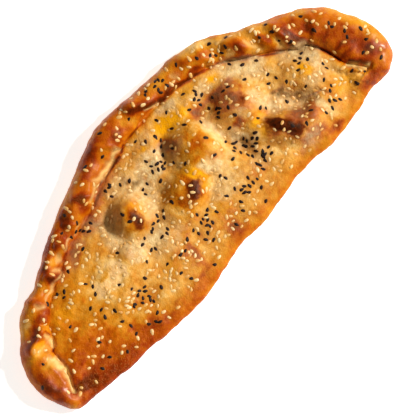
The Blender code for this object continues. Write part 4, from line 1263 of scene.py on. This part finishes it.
sesame, tree, shader = new_material("sesame")
flecks = maths(tree, "MULTIPLY", grains(tree, *FLECKS), FLECK_STRENGTH)
fill(shader, {
    "Base Color": ramp(tree, maths(tree, "ADD", layer(tree, "tone"), flecks), SESAME_COLOURS),
    "Roughness": 0.42,
    "Subsurface Weight": 0.12,
    "Subsurface Radius": (1.0, 0.6, 0.3),
    "Subsurface Scale": 0.6 * MM,
})
sesame_seeds.data.materials.append(sesame)

nigella, tree, shader = new_material("nigella")
wrinkles = grains(tree, *WRINKLES)
dark = maths(tree, "MULTIPLY", layer(tree, "tone"), wrinkles)
fill(shader, {
    "Base Color": ramp(tree, dark, NIGELLA_COLOURS),
    "Roughness": 0.55,
    "Normal": bumps(tree, wrinkles, WRINKLE_DEPTH, WRINKLE_STRENGTH),
    "Specular IOR Level": 0.2,
})
nigella_seeds.data.materials.append(nigella)
print("seeds finished:", sesame.name, "and", nigella.name)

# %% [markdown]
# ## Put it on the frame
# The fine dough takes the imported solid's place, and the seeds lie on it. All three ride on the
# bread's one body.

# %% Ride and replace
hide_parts("seeded_bread")
for piece, slot_name in ((dough, "crust"), (sesame_seeds, "sesame"), (nigella_seeds, "nigella")):
    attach(piece, "root")

# %% [markdown]
# ## Floor and light
# The floor is plain and pale, and glows so that it stays white. One lamp like a low sun comes from
# the side and gives the blisters their shadows, and a warm sky fills them. A ring of soft lamps
# would make the blisters look flat.

# %% Floor, sun and sky
FLOOR_SIZE = 6.0
FLOOR_DROP = 0.05 * MM
TO_SUN = Vector((0.87, -0.50, 0.86))        # from the thick end, on the fold's side
SUN_STRENGTH = 4.5
SUN_BREADTH = math.radians(7.0)
SKY_STRENGTH = 0.26
SKY_COLOUR = (1.0, 0.88, 0.7, 1.0)

floor_shape = bmesh.new()
bmesh.ops.create_grid(floor_shape, x_segments=1, y_segments=1, size=FLOOR_SIZE / 2)
floor_mesh = bpy.data.meshes.new("floor")
floor_shape.to_mesh(floor_mesh)
floor_shape.free()
floor = add_object("floor", floor_mesh)
floor.location.z = -FLOOR_DROP
plaster, tree, shader = new_material("plaster")
fill(shader, {
    "Base Color": (0.86, 0.86, 0.86, 1.0),
    "Roughness": 0.9,
    "Emission Color": (1.0, 1.0, 1.0, 1.0),
    "Emission Strength": 0.72,
})
floor_mesh.materials.append(plaster)

lamp = bpy.data.lights.new("sun", "SUN")
lamp.energy = SUN_STRENGTH
lamp.angle = SUN_BREADTH
sun = add_object("sun", lamp)
sun.rotation_euler = TO_SUN.to_track_quat("Z", "Y").to_euler()

sky = bpy.data.worlds.new("sky")
sky.use_nodes = True
fill(sky.node_tree.nodes["Background"], {"Color": SKY_COLOUR, "Strength": SKY_STRENGTH})
bpy.context.scene.world = sky
bpy.context.scene.view_settings.view_transform = "Standard"
level = SUN_STRENGTH * TO_SUN.normalized().z / math.pi + SKY_STRENGTH
print("light on a level surface:", round(level, 2))
